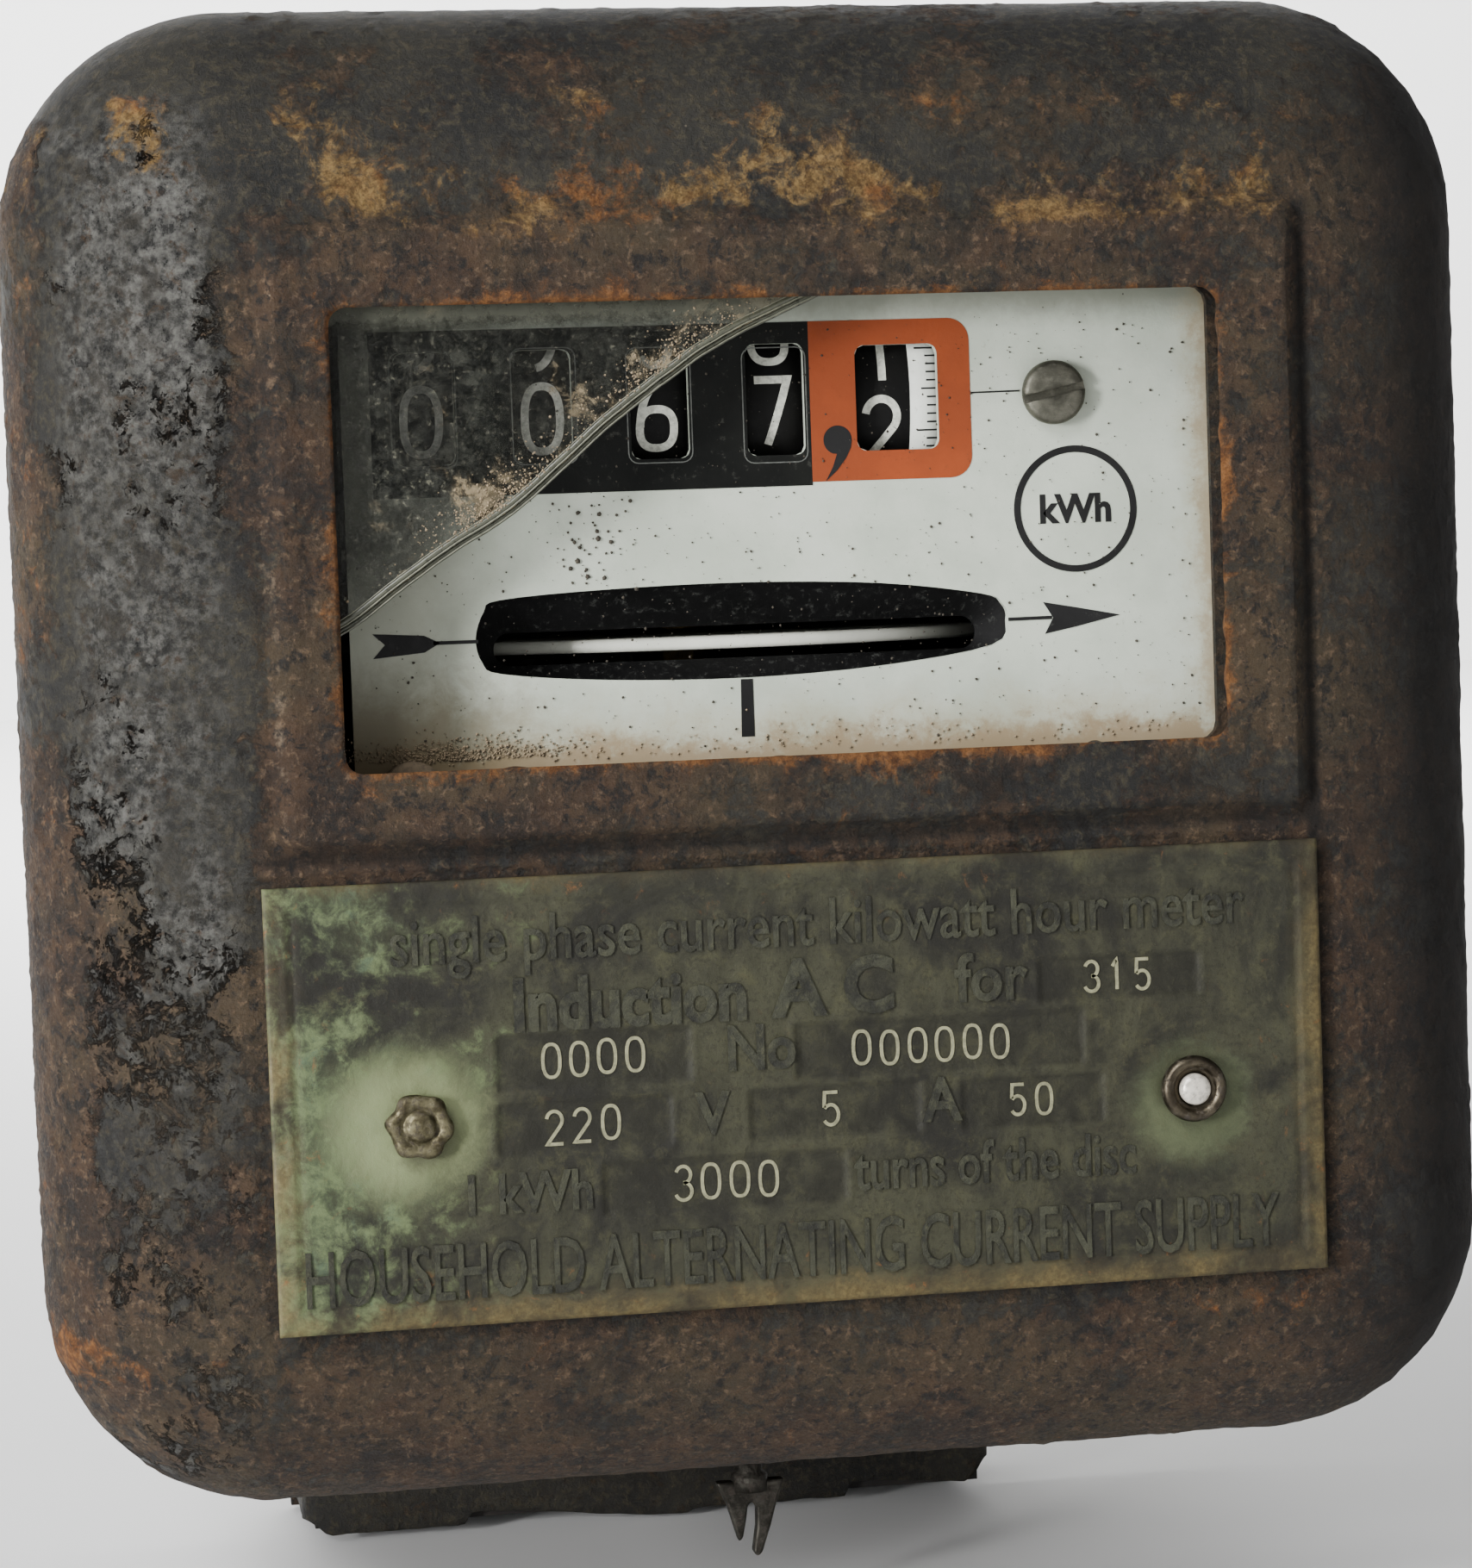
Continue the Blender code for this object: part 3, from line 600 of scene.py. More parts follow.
def cover_relief(x, y, z, rust, bloom):
    """Height in millimetres that rust, blisters and the raised panel add to the plain shell."""
    edge, front = panel_frame(x, y, z)
    height = 0.0
    if front:
        height += PANEL_RISE * (1 - smoothstep(-0.8, 0.35, edge))
        height += 0.2 * bell(edge + 1.7, 0.9)
        grooved = max(smoothstep(30, 46, x), smoothstep(4, -8, z))
        height -= 0.45 * bell(edge - 0.9, 0.7) * grooved
        height -= 0.35 * math.exp(-max(outside_box(x, z, WINDOW), 0) / 0.8)
        behind_plate = abs(x) < 48 and -50.2 < z < -9.4
        height -= 0.25 * behind_plate
    broad = fbm(x, y, z, 14, 3, 1.7)
    pits = fbm(x, y, z, 2.6, 5, 5.2)
    crust = smoothstep(0.4, 0.6, rust + 0.5 * pits)
    height += 0.05 * broad + crust * (0.05 + 0.13 * pits) + 0.1 * smoothstep(0.5, 0.8, bloom + 0.6 * pits)
    return height + 0.06 * fbm(x, y, z, 1.6, 4, 9.3)


def window_edge(x, z):
    """The nearest point of the window's outline."""
    cx, cz, width, height, r = WINDOW
    dx, dz = x - cx, z - cz
    hx, hz = width / 2 - r, height / 2 - r
    if abs(dx) > hx and abs(dz) > hz:
        sx, sz = math.copysign(hx, dx), math.copysign(hz, dz)
        away = Vector((dx - sx, dz - sz)).normalized() * r
        return cx + sx + away.x, cz + sz + away.y
    if width / 2 - abs(dx) < height / 2 - abs(dz):
        return cx + math.copysign(width / 2, dx), z
    return x, cz + math.copysign(height / 2, dz)


def cover_grid(start, border):
    """The flat front as a square grid: (corners by cell index, further points, faces round the window)."""
    n = COVER_SIDE_CELLS
    steps = [-GRID_HALF + 2 * GRID_HALF * i / n for i in range(n + 1)]

    def cell(v):
        return round((v + GRID_HALF) / 2 / GRID_HALF * n)

    lookup = {(cell(x), cell(z)): start + i for i, (x, z) in enumerate(border)}
    points = [(x, FRONT_Y, z) for x, z in border]
    for a in range(1, n):
        for b in range(1, n):
            lookup[(a, b)] = start + len(points)
            points.append((steps[a], FRONT_Y, steps[b]))
    kept = []
    cut = set()
    for a in range(n):
        for b in range(n):
            face = (lookup[(a, b)], lookup[(a + 1, b)], lookup[(a + 1, b + 1)], lookup[(a, b + 1)])
            x = sum(points[i - start][0] for i in face) / 4
            z = sum(points[i - start][2] for i in face) / 4
            if outside_box(x, z, WINDOW) < 0:
                cut.update(face)
            else:
                kept.append(face)
    return points, kept, cut


def cover_mesh():
    """The cover's outer skin with the window cut out: (points, faces)."""
    around = 4 * COVER_SIDE_CELLS
    verts = []
    faces = []
    stations = cover_stations()
    for inset, y in stations:
        corner = CORNER * max(1 - inset / GRID_INSET, 0.0) ** 0.9
        verts += [(x, y, z) for x, z in ring_points(HALF - inset, corner, COVER_SIDE_CELLS)]
    for k in range(len(stations)):
        faces += band(around, k * around, (k + 1) * around)
    points, kept, cut = cover_grid(len(verts), ring_points(GRID_HALF, 0.0, COVER_SIDE_CELLS))
    verts += points
    faces += kept
    used = {i for face in faces for i in face}
    for i in cut & used:
        x, z = window_edge(verts[i][0], verts[i][2])
        verts[i] = (x, FRONT_Y, z)
    order = {old: new for new, old in enumerate(sorted(used))}
    return [verts[i] for i in sorted(used)], [tuple(order[i] for i in face) for face in faces]


def make_cover():
    cover = new_object("cover_shell", *cover_mesh(), ["enamel_and_rust", "cover_inside"])
    mesh = cover.data
    face_forward(mesh)
    normals = [v.normal.copy() for v in mesh.vertices]
    marks = []
    for vert, normal in zip(mesh.vertices, normals):
        x, y, z = vert.co / MM
        marks.append(cover_marks(x, y, z))
        vert.co += normal * cover_relief(x, y, z, marks[-1][0], marks[-1][1]) * MM
    for name, values in zip(("rust", "bloom", "worn", "dust_and_highlight", "painted_shade"), zip(*marks)):
        layer = mesh.attributes.new(name, "FLOAT", "POINT")
        layer.data.foreach_set("value", values)
    thick = thicken(cover, WALL)
    thick.material_offset = 1
    thick.material_offset_rim = 0
    apply_modifiers(cover)
    put(cover, ["front_cover"])


# ---------------------------------------------------------------- lettering


DIGIT_PATHS = {
    "0": [("ring", 0.0, 0.0, 1.0, 1.0)],
    "1": [("line", (-0.45, 0.55), (0.12, 1.0), (0.12, -1.0))],
    "2": [("arc", 0.0, 0.46, 0.92, 0.54, 170, -38), ("line", (0.72, 0.12), (-0.92, -1.0), (0.98, -1.0))],
    "3": [("arc", 0.0, 0.5, 0.85, 0.5, 160, -90), ("arc", 0.0, -0.48, 0.95, 0.52, 90, -160)],
    "4": [("line", (0.98, -0.45), (-1.0, -0.45), (0.42, 1.0), (0.42, -1.0))],
    "5": [("line", (0.85, 1.0), (-0.7, 1.0), (-0.8, 0.08)), ("arc", -0.02, -0.38, 0.94, 0.62, 140, -145)],
    "6": [("ring", 0.0, -0.4, 0.98, 0.6), ("arc", 0.35, -0.35, 1.3, 1.35, 180, 95)],
    "7": [("line", (-0.95, 1.0), (0.95, 1.0), (-0.2, -1.0))],
    "8": [("ring", 0.0, 0.5, 0.8, 0.5), ("ring", 0.0, -0.47, 0.98, 0.53)],
    "9": [("ring", 0.0, 0.4, 0.98, 0.6), ("arc", -0.35, 0.35, 1.3, 1.35, 0, -85)],
}


def path_points(part, half_width, half_height):
    """(points, closed) of one stroke of a figure, in millimetres."""
    if part[0] == "ring":
        _, cx, cz, rx, rz = part
        loop = []
        for i in range(40):
            t = 2 * math.pi * i / 40
            c, s = math.cos(t), math.sin(t)
            x = cx + rx * math.copysign(abs(c) ** 0.8, c)
            z = cz + rz * math.copysign(abs(s) ** 0.8, s)
            loop.append((x * half_width, z * half_height))
        return loop, True
    if part[0] == "arc":
        _, cx, cz, rx, rz, first, last = part
        count = 22
        angles = [math.radians(first + (last - first) * i / count) for i in range(count + 1)]
        bow = [(cx + rx * math.cos(t), cz + rz * math.sin(t)) for t in angles]
        return [(x * half_width, z * half_height) for x, z in bow], False
    points = []
    for (x0, z0), (x1, z1) in zip(part[1:], part[2:]):
        for i in range(8):
            s = i / 8
            points.append(((x0 + (x1 - x0) * s) * half_width, (z0 + (z1 - z0) * s) * half_height))
    points.append((part[-1][0] * half_width, part[-1][1] * half_height))
    return points, False


def stroke(points, closed, width):
    """A flat ribbon along a path: (points, quads)."""
    n = len(points)
    verts = []
    for i, (x, z) in enumerate(points):
        if closed:
            a, b = points[i - 1], points[(i + 1) % n]
            d = Vector((b[0] - a[0], b[1] - a[1])).normalized()
            side, grow = Vector((-d.y, d.x)), 1.0
        else:
            a = points[max(i - 1, 0)]
            b = points[min(i + 1, n - 1)]
            before = Vector((x - a[0], z - a[1]))
            after = Vector((b[0] - x, b[1] - z))
            before = before.normalized() if before.length else after.normalized()
            after = after.normalized() if after.length else before
            d = (before + after).normalized()
            side = Vector((-d.y, d.x))
            grow = 1 / max(side.dot(Vector((-before.y, before.x))), 0.55)
        for s in (-0.5, 0.5):
            verts.append((x + side.x * s * width * grow, z + side.y * s * width * grow))
    quads = []
    for i in range(n if closed else n - 1):
        j = (i + 1) % n
        quads.append((2 * i, 2 * i + 1, 2 * j + 1, 2 * j))
    return verts, quads


def figure(text, width, height, weight):
    """Flat strokes of one figure about its own middle."""
    verts = []
    quads = []
    half = (width - weight) / 2
    tall = (height - weight) / 2
    for part in DIGIT_PATHS[text]:
        points, closed = path_points(part, half, tall)
        more, faces = stroke(points, closed, weight)
        quads += [tuple(i + len(verts) for i in face) for face in faces]
        verts += more
    return verts, quads


def thick_strokes(verts, quads, front, back):
    """Closes flat strokes into solid ones; front and back place a flat point in space."""
    n = len(verts)
    points = [front(x, z) for x, z in verts] + [back(x, z) for x, z in verts]
    faces = quads + [tuple(i + n for i in reversed(face)) for face in quads]
    edges = {}
    for face in quads:
        for a, b in zip(face, face[1:] + face[:1]):
            edges[(a, b)] = edges.get((a, b), 0) + 1
    for a, b in edges:
        if (b, a) not in edges:
            faces.append((b, a, a + n, b + n))
    return points, faces


class Gather:
    """Collects solid strokes into one mesh."""

    def __init__(self):
        self.verts = []
        self.faces = []

    def add(self, verts, faces):
        base = len(self.verts)
        self.verts += verts
        self.faces += [tuple(i + base for i in face) for face in faces]

    def ribbon(self, points, closed, width, front, back):
        """A solid stroke along a flat path, between two depths."""
        flat, quads = stroke(points, closed, width)
        self.add(*thick_strokes(flat, quads, at_depth(front), at_depth(back)))

    def make(self, name, mat, smooth=False):
        return new_object(name, self.verts, self.faces, [mat], smooth)


def lettering(name, text, x, z, height, y0, y1, mat, squeeze, weight):
    """Words as raised letters facing -Y; height is a capital's."""
    curve = bpy.data.curves.new(name, "FONT")
    curve.body = text
    curve.size = height / 0.7 * MM
    curve.align_x = "CENTER"
    curve.align_y = "CENTER"
    curve.offset = weight * MM
    curve.extrude = abs(y1 - y0) / 2 * MM
    curve.resolution_u = 3
    text_object = linked(name, curve)
    graph = bpy.context.evaluated_depsgraph_get()
    mesh = bpy.data.meshes.new_from_object(text_object.evaluated_get(graph))
    bpy.data.objects.remove(text_object)
    place = Matrix.Translation((x * MM, (y0 + y1) / 2 * MM, z * MM))
    turn = Matrix.Rotation(math.pi / 2, 4, "X")
    mesh.transform(place @ turn @ Matrix.Diagonal((squeeze, 1.0, 1.0, 1.0)))
    mesh.materials.clear()
    mesh.materials.append(MATS[mat])
    return linked(name, mesh)


# ---------------------------------------------------------------- number drums


FIGURE_HEIGHT = 6.6
FIGURE_WIDTH = 3.9
FIGURE_WEIGHT = 0.72
# Each drum's body, the figure that it shows and the middle of its figures.
DRUMS = [("thousands_drum", 0, -30.75), ("hundreds_drum", 0, -19.9), ("tens_drum", 6, -9.55)]
DRUMS += [("units_drum", 7, 0.95), ("tenths_drum", 2, 11.05)]
DRUM_SAG = -1.1  # the shown figure stands this far below the axis's height
TENTHS_SAG = -3.1


def on_drum(x0, z0, rise):
    """Wraps a flat point onto the drum: x along the axis, z round the front, up to a full turn."""
    a, b = DRUM_AXIS
    r = DRUM_R + rise

    def place(x, z):
        t = (z + z0) / DRUM_R
        return (x + x0, a - r * math.cos(t), b + r * math.sin(t))

    return place


def make_drum(index):
    """A drum's black face and its ten figures, and a scale on the tenths drum."""
    body, showing, centre = DRUMS[index]
    node = f"drum_{index + 1}"
    low, high = span(node)
    tenths = index == 4
    left = low[0] + (1.1 if index else 0.0)
    right = high[0] - (0.0 if tenths else 1.2)
    profile = [(1.6, left), (DRUM_R - 0.9, left), (DRUM_R - 0.25, left + 0.1), (DRUM_R, left + 0.35)]
    profile += [(DRUM_R, right - 0.35), (DRUM_R - 0.25, right - 0.1), (DRUM_R - 0.9, right), (1.6, right)]
    shell = turned(f"{node}_face", profile, "X", *DRUM_AXIS, "drum_black_paint", DRUM_STEPS)
    put(shell, [node], body)

    pitch = 2 * math.pi * DRUM_R / 10
    sag = TENTHS_SAG if tenths else DRUM_SAG
    ink = Gather()
    for step in range(10):
        value = (showing + step) % 10
        z0 = sag - step * pitch
        flat, quads = figure(str(value), FIGURE_WIDTH, FIGURE_HEIGHT, FIGURE_WEIGHT)
        ink.add(*thick_strokes(flat, quads, on_drum(centre, z0, 0.05), on_drum(centre, z0, -0.1)))
    put(ink.make(f"{node}_figures", "ink_white"), body=body)
    if tenths:
        make_drum_scale(body, sag, pitch, right - 0.4)


def make_drum_scale(body, sag, pitch, right):
    """The white strip at the end of the tenths drum, with a hundred ticks."""
    left = 13.75
    profile = [(DRUM_R - 0.2, left), (DRUM_R + 0.05, left), (DRUM_R + 0.05, right), (DRUM_R - 0.2, right)]
    put(turned("drum_5_scale", profile, "X", *DRUM_AXIS, "scale_white", DRUM_STEPS), body=body)
    ticks = Gather()
    foot = 16.3
    for mark in range(100):
        length = 1.9 if mark % 10 == 0 else 1.5 if mark % 5 == 0 else 1.0
        z0 = sag - mark * pitch / 10
        flat, quads = stroke([(-length, 0.0), (-length / 2, 0.0), (0.0, 0.0)], False, 0.16)
        ticks.add(*thick_strokes(flat, quads, on_drum(foot, z0, 0.09), on_drum(foot, z0, 0.0)))
    put(ticks.make("drum_5_ticks", "ink_black"), body=body)


# ---------------------------------------------------------------- dial


DIAL_INK = 0.05
CAD_WINDOW_X = (-30.6, -20.06, -9.52, 1.02)  # the openings in the CAD plate
DRUM_WINDOWS = [(-30.7, 31.0), (-19.9, 31.1), (-9.55, 30.9), (0.95, 30.6)]  # the printed frames round them


def make_dial():
    """The dial's printing: black band, red frame, lines, arrow, index bar, comma and unit sign."""
    front = DIAL_LOW[1]
    ink = front - DIAL_INK

    def flat(name, loops, mat):
        put(slab(name, loops, front, ink, mat))

    openings = [rounded(x, 31.0, 5.3, 10.0, 0.8, 4)[::-1] for x in CAD_WINDOW_X]
    band = [(-35.4, 37.9), (-35.4, 23.2), (4.2, 23.2), (4.2, 37.9)]
    flat("dial_black_band", [band[::-1]] + openings, "black_band")
    red = [(4.2, 37.9), (4.2, 23.5)]
    red += circle(17.0, 25.5, 2.0, 8, -math.pi / 2, math.pi / 2) + [(19.0, 25.5)]
    red += circle(17.0, 35.9, 2.0, 8, 0.0, math.pi / 2) + [(17.0, 37.9)]
    flat("dial_red_frame", [red, rounded(12.2, 30.9, 7.6, 9.5, 0.9, 5)[::-1]], "red_frame")
    outlines = Gather()
    for x, z in DRUM_WINDOWS:
        outlines.ribbon(rounded(x, z - 0.1, 5.8, 10.3, 0.9, 4), True, 0.1, ink - 0.03, front)
    put(outlines.make("dial_window_outlines", "window_outline"))

    dark = Gather()
    dark.ribbon([(19.0, 31.1), (23.6, 31.15)], False, 0.16, ink, front)
    dark.ribbon([(21.9, 10.45), (26.0, 10.48)], False, 0.32, ink, front)
    dark.ribbon([(-26.6, 10.3), (-30.6, 10.3)], False, 0.32, ink, front)
    dark.ribbon(circle(28.5, 20.3, 5.45, 72), True, 0.62, ink, front)
    put(dark.make("dial_lines", "ink_black"))
    head = [(25.2, 11.9), (26.1, 10.45), (25.3, 9.0), (28.4, 9.6), (32.4, 10.5), (28.4, 11.3)]
    flat("dial_arrow_head", [head], "ink_black")
    tail = [(-30.0, 10.3), (-31.4, 11.0), (-36.0, 11.3), (-34.9, 10.3), (-36.0, 9.1), (-31.4, 9.5)]
    flat("dial_arrow_tail", [tail], "ink_black")
    flat("dial_index_bar", [[(-3.0, 6.0), (-3.1, 0.8), (-1.9, 0.8), (-1.9, 6.0)]], "ink_black")
    comma = circle(6.6, 27.2, 1.3, 28, math.radians(-12), math.radians(270))
    comma += [(6.5, 25.95), (6.1, 24.8), (5.4, 23.5), (6.5, 24.5), (7.35, 25.6), (7.8, 26.5)]
    put(slab("dial_comma", [comma], front, ink - 0.04, "ink_black"))
    text = lettering("dial_unit", "kWh", 28.5, 20.2, 2.5, ink, front, "ink_black", 0.95, 0.12)
    put(text)


def make_slot_shade():
    """A blackened funnel from the sight slot in to the edge of the disc, which shows in its slit."""
    outer = rounded(-2.5, 10.4, 51.0, 10.5, 4.4, 10)
    slit = rounded(-2.5, 9.35, 44.5, 3.0, 1.45, 10)
    disc_front = span("rotor_disc")[0][1]
    near, far = DIAL_HIGH[1] + 0.05, disc_front - 0.3
    count = len(outer)
    verts = [(x, near, z) for x, z in outer] + [(x, far, z) for x, z in slit]
    verts += [(x, near + 0.3, z) for x, z in outer] + [(x, far + 0.3, z) for x, z in slit]
    faces = []
    for i in range(count):
        j = (i + 1) % count
        for one, two in ((0, 1), (1, 3), (3, 2), (2, 0)):
            faces.append((one * count + i, one * count + j, two * count + j, two * count + i))
    shade = new_object("dial_slot_shade", verts, faces, ["slot_shade_paint"], smooth=False)
    put(shade)


def make_disc():
    """The disc's sheet and the hundred marks round its edge."""
    low, high = span("rotor_disc")
    a, b, _ = middle("rotor_disc")
    r = (high[0] - low[0]) / 2
    z0, z1 = low[2], high[2]
    profile = [(2.0, z0), (r - 0.35, z0), (r - 0.12, z0 + 0.1), (r, z0 + 0.35)]
    profile += [(r, z1 - 0.35), (r - 0.12, z1 - 0.1), (r - 0.35, z1), (2.0, z1)]
    disc = turned("disc_sheet", profile, "Z", a, b, "disc_aluminium", 256)
    put(disc, ["rotor_disc"], "rotor")
    marks = Gather()
    for step in range(100):
        t = 2 * math.pi * step / 100
        length = 2.4 if step % 10 == 0 else 1.2
        p = Vector((math.cos(t), math.sin(t)))
        q = Vector((-math.sin(t), math.cos(t))) * 0.09
        outer, inner = p * (r - 1.0), p * (r - 1.0 - length)
        flat = [outer - q, outer + q, inner + q, inner - q]
        points = [(a + v.x, b + v.y, z) for z in (z1 + 0.03, z1 - 0.05) for v in flat]
        faces = [(0, 1, 2, 3), (7, 6, 5, 4)]
        faces += [(i, i + 4, (i + 1) % 4 + 4, (i + 1) % 4) for i in range(4)]
        marks.add(points, faces)
    put(marks.make("disc_marks", "ink_black"), body="rotor")


def make_dial_screw(side, mat):
    """A round screw head with a slot a little off level."""
    node = "dial_screw_" + side
    low, high = span(node)
    x, _, z = middle(node)
    front = low[1]
    r = (high[0] - low[0]) / 2
    profile = [(0.0, high[1]), (1.1, high[1])]
    profile += raised(front, (1.1, 1.3), (r - 0.1, 1.3), (r, 1.15), (r, 0.6), (r - 0.12, 0.3))
    profile += raised(front, (r - 0.45, 0.1), (r - 1.2, 0.02), (0.0, 0.0))
    head = turned(node + "_head", profile, "Y", x, z, mat, 48)
    bite = slab("bite", [[(-4, -0.33), (4, -0.33), (4, 0.33), (-4, 0.33)]], -1.0, 0.75, mat)
    tilt = Matrix.Rotation(math.radians(-12), 4, "Y")
    bite.matrix_world = Matrix.Translation((x * MM, front * MM, z * MM)) @ tilt
    cut = head.modifiers.new("slot", "BOOLEAN")
    cut.operation = "DIFFERENCE"
    cut.solver = "EXACT"
    cut.object = bite
    apply_modifiers(head)
    bpy.data.objects.remove(bite)
    put(head, [node])


# ---------------------------------------------------------------- window pane


CRACK = [(-41.0, 10.6), (-36.6, 13.3), (-30.5, 17.6), (-23.5, 21.9), (-18.0, 26.5), (-12.8, 30.7)]
CRACK += [(-5.0, 35.9), (3.3, 39.7), (6.0, 41.2)]


def crack_curve(count):
    """Points along the broken edge, smoothly between the named ones."""
    points = [Vector(p) for p in CRACK]
    out = []
    for i in range(count + 1):
        s = i / count * (len(points) - 1)
        k = min(int(s), len(points) - 2)
        t = s - k
        p0, p1 = points[max(k - 1, 0)], points[k]
        p2, p3 = points[k + 1], points[min(k + 2, len(points) - 1)]
        p = 0.5 * (2 * p1 + (p2 - p0) * t + (2 * p0 - 5 * p1 + 4 * p2 - p3) * t**2)
        p += 0.5 * (3 * p1 - p0 - 3 * p2 + p3) * t**3
        wobble = 0.07 * noise.noise((p.x * 0.3, p.y * 0.3, 3.0))
        wobble += 0.02 * noise.noise((p.x * 2.2, 7.0, p.y * 2.2))
        out.append((p.x - wobble, p.y + wobble))
    return out


def make_glass():
    """The shard that is left, with bevelled broken edge, and pale streaks along the break."""
    low, high = span("window_glass")
    front, back = low[1], high[1]
    edge = crack_curve(120)
    bevel = 0.55
    sheet = [*edge, (low[0], high[2])]
    verts = []
    faces = []
    n = len(sheet)
    for y, shift in ((front, bevel), (front + 0.5, 0.0), (back - 0.5, 0.15), (back, bevel * 0.8)):
        for i, (x, z) in enumerate(sheet):
            on_edge = 0 < i < n - 2
            verts.append((x - shift * 0.55 * on_edge, y, z + shift * 0.8 * on_edge))
    for k in range(3):
        faces += band(n, k * n, (k + 1) * n)
    caps = tessellate_polygon([[Vector((x, z, 0)) for x, z in sheet]])
    faces += [tuple(t) for t in caps]
    faces += [tuple(i + 3 * n for i in reversed(t)) for t in caps]
    pane = new_object("window_shard", verts, faces, ["dirty_pane"], smooth=False)
    put(pane, ["window_glass"])

    for name, mat, layers in (
        ("window_shard_edge", "pane_edge", ((0.02, 0.7, 0.42), (0.3, 0.15, 0.3), (1.5, -0.2, 0.2))),
        ("window_shard_edge_lines", "pane_line", ((0.0, 0.42, 0.12), (0.2, -0.1, 0.1), (0.0, 1.0, 0.08))),
    ):
        lines = Gather()
        for depth, offset, width in layers:
            path = [(x - offset * 0.6, z + offset * 0.8) for x, z in edge[4:-4]]
            lines.ribbon(path, False, width, front + depth - 0.05, front + depth + 0.1)
        put(lines.make(name, mat, True))


def make_grit():
    """Sand along the dial's lower edge and the broken pane, and dark crumbs over the dial."""
    spots = []
    dial = DIAL_LOW[1] - 0.12
    pane = span("window_glass")[0][1] - 0.05
    foot = WINDOW[1] - WINDOW[3] / 2
    for _ in range(900):
        x, z = RANDOM.gauss(-29, 5.0), foot + abs(RANDOM.gauss(0, 0.9)) + 0.4
        spots.append((x, dial, z, RANDOM.choice((0.07, 0.1, 0.15))))
    for _ in range(160):
        spots.append((RANDOM.uniform(-35, 38), dial, foot + abs(RANDOM.gauss(0, 1.2)), 0.13))
    steps = 2400
    edge = crack_curve(steps)
    for centre, spread, count in ((0.35, 0.045, 420), (0.7, 0.05, 320), (0.5, 0.2, 260)):
        for _ in range(count):
            share = min(max(RANDOM.gauss(centre, spread), 0.02), 0.98)
            x, z = edge[int(share * steps)]
            away = abs(RANDOM.gauss(0.5, 1.2)) + 0.8
            spots.append((x - away * 0.6, pane, z + away * 0.8, RANDOM.choice((0.06, 0.09, 0.13))))
    put(crumbs("window_sand", spots, "sand"))
    spots = []
    for _ in range(1100):
        x, z = RANDOM.uniform(-36, 40), RANDOM.uniform(0, 38)
        spots.append((x, dial, z, RANDOM.choice((0.05, 0.05, 0.07, 0.1, 0.14))))
    for _ in range(60):
        spots.append((RANDOM.gauss(-16, 2.5), dial, RANDOM.gauss(19, 3.0), RANDOM.choice((0.1, 0.15, 0.25))))
    put(crumbs("dial_crumbs", spots, "crumbs"))


def crumbs(name, spots, mat):
    """Small five-sided grains at (x, y, z, size)."""
    grit = Gather()
    for x, y, z, size in spots:
        r = size * RANDOM.uniform(0.5, 1.25)
        twist = RANDOM.uniform(0, math.pi)
        ring = []
        for t in (0, 1.26, 2.51, 3.77, 5.03):
            px = x + r * RANDOM.uniform(0.6, 1) * math.cos(twist + t)
            ring.append((px, y, z + r * RANDOM.uniform(0.6, 1) * math.sin(twist + t)))
        base = [(px, y + r * 0.5, pz) for px, _, pz in ring]
        tip = [(x, y - r * 0.8, z)]
        faces = [(i, (i + 1) % 5, 10) for i in range(5)]
        faces += [(i, i + 5, (i + 1) % 5 + 5, (i + 1) % 5) for i in range(5)] + [(9, 8, 7, 6, 5)]
        grit.add(ring + base + tip, faces)
    return grit.make(name, mat)


# ---------------------------------------------------------------- data plate


# The sunken fields: middle x and z, width, height.
FIELDS = [
    (28.9, -21.6, 15.0, 4.0), (-18.8, -26.4, 17.4, 5.0), (12.3, -26.8, 26.4, 5.0),
    (-19.8, -32.2, 15.6, 4.6), (2.6, -32.2, 15.6, 4.6), (20.6, -32.4, 13.2, 4.6), (-7.5, -38.0, 22.0, 4.8),
]


# Name, text, x, z, height of a capital, squeeze in width and added weight.
PLATE_WORDS = [
    ("plate_title", "single phase current kilowatt hour meter", 2.0, -15.6, 4.1, 0.79, 0.05),
    ("plate_kind", "Induction", -15.5, -21.6, 4.5, 0.86, 0.22),
    ("plate_current", "A C", 2.8, -21.4, 4.8, 0.95, 0.26),
    ("plate_mark", "for", 17.0, -21.3, 4.2, 0.9, 0.12),
    ("plate_part", "No", -4.0, -26.4, 3.9, 0.85, 0.14),
    ("plate_volts", "V", -8.5, -32.0, 3.6, 0.9, 0.14),
    ("plate_amperes", "A", 12.2, -32.0, 3.8, 0.9, 0.14),
    ("plate_unit", "1 kWh", -25.2, -38.0, 3.5, 0.85, 0.1),
    ("plate_turns", "turns of the disc", 17.0, -37.8, 3.8, 0.72, 0.08),
    ("plate_supply", "HOUSEHOLD ALTERNATING CURRENT SUPPLY", -1.0, -44.7, 4.9, 0.59, 0.05),
]
PLATE_FIGURES = [("315", 28.6, -21.5, 3.0), ("0000", -18.9, -26.3, 3.2), ("000000", 11.4, -26.8, 3.2)]
PLATE_FIGURES += [("220", -20.1, -32.2, 3.2), ("5", 2.2, -32.0, 3.2), ("50", 20.4, -32.3, 3.0)]
PLATE_FIGURES += [("3000", -7.5, -37.9, 3.3)]


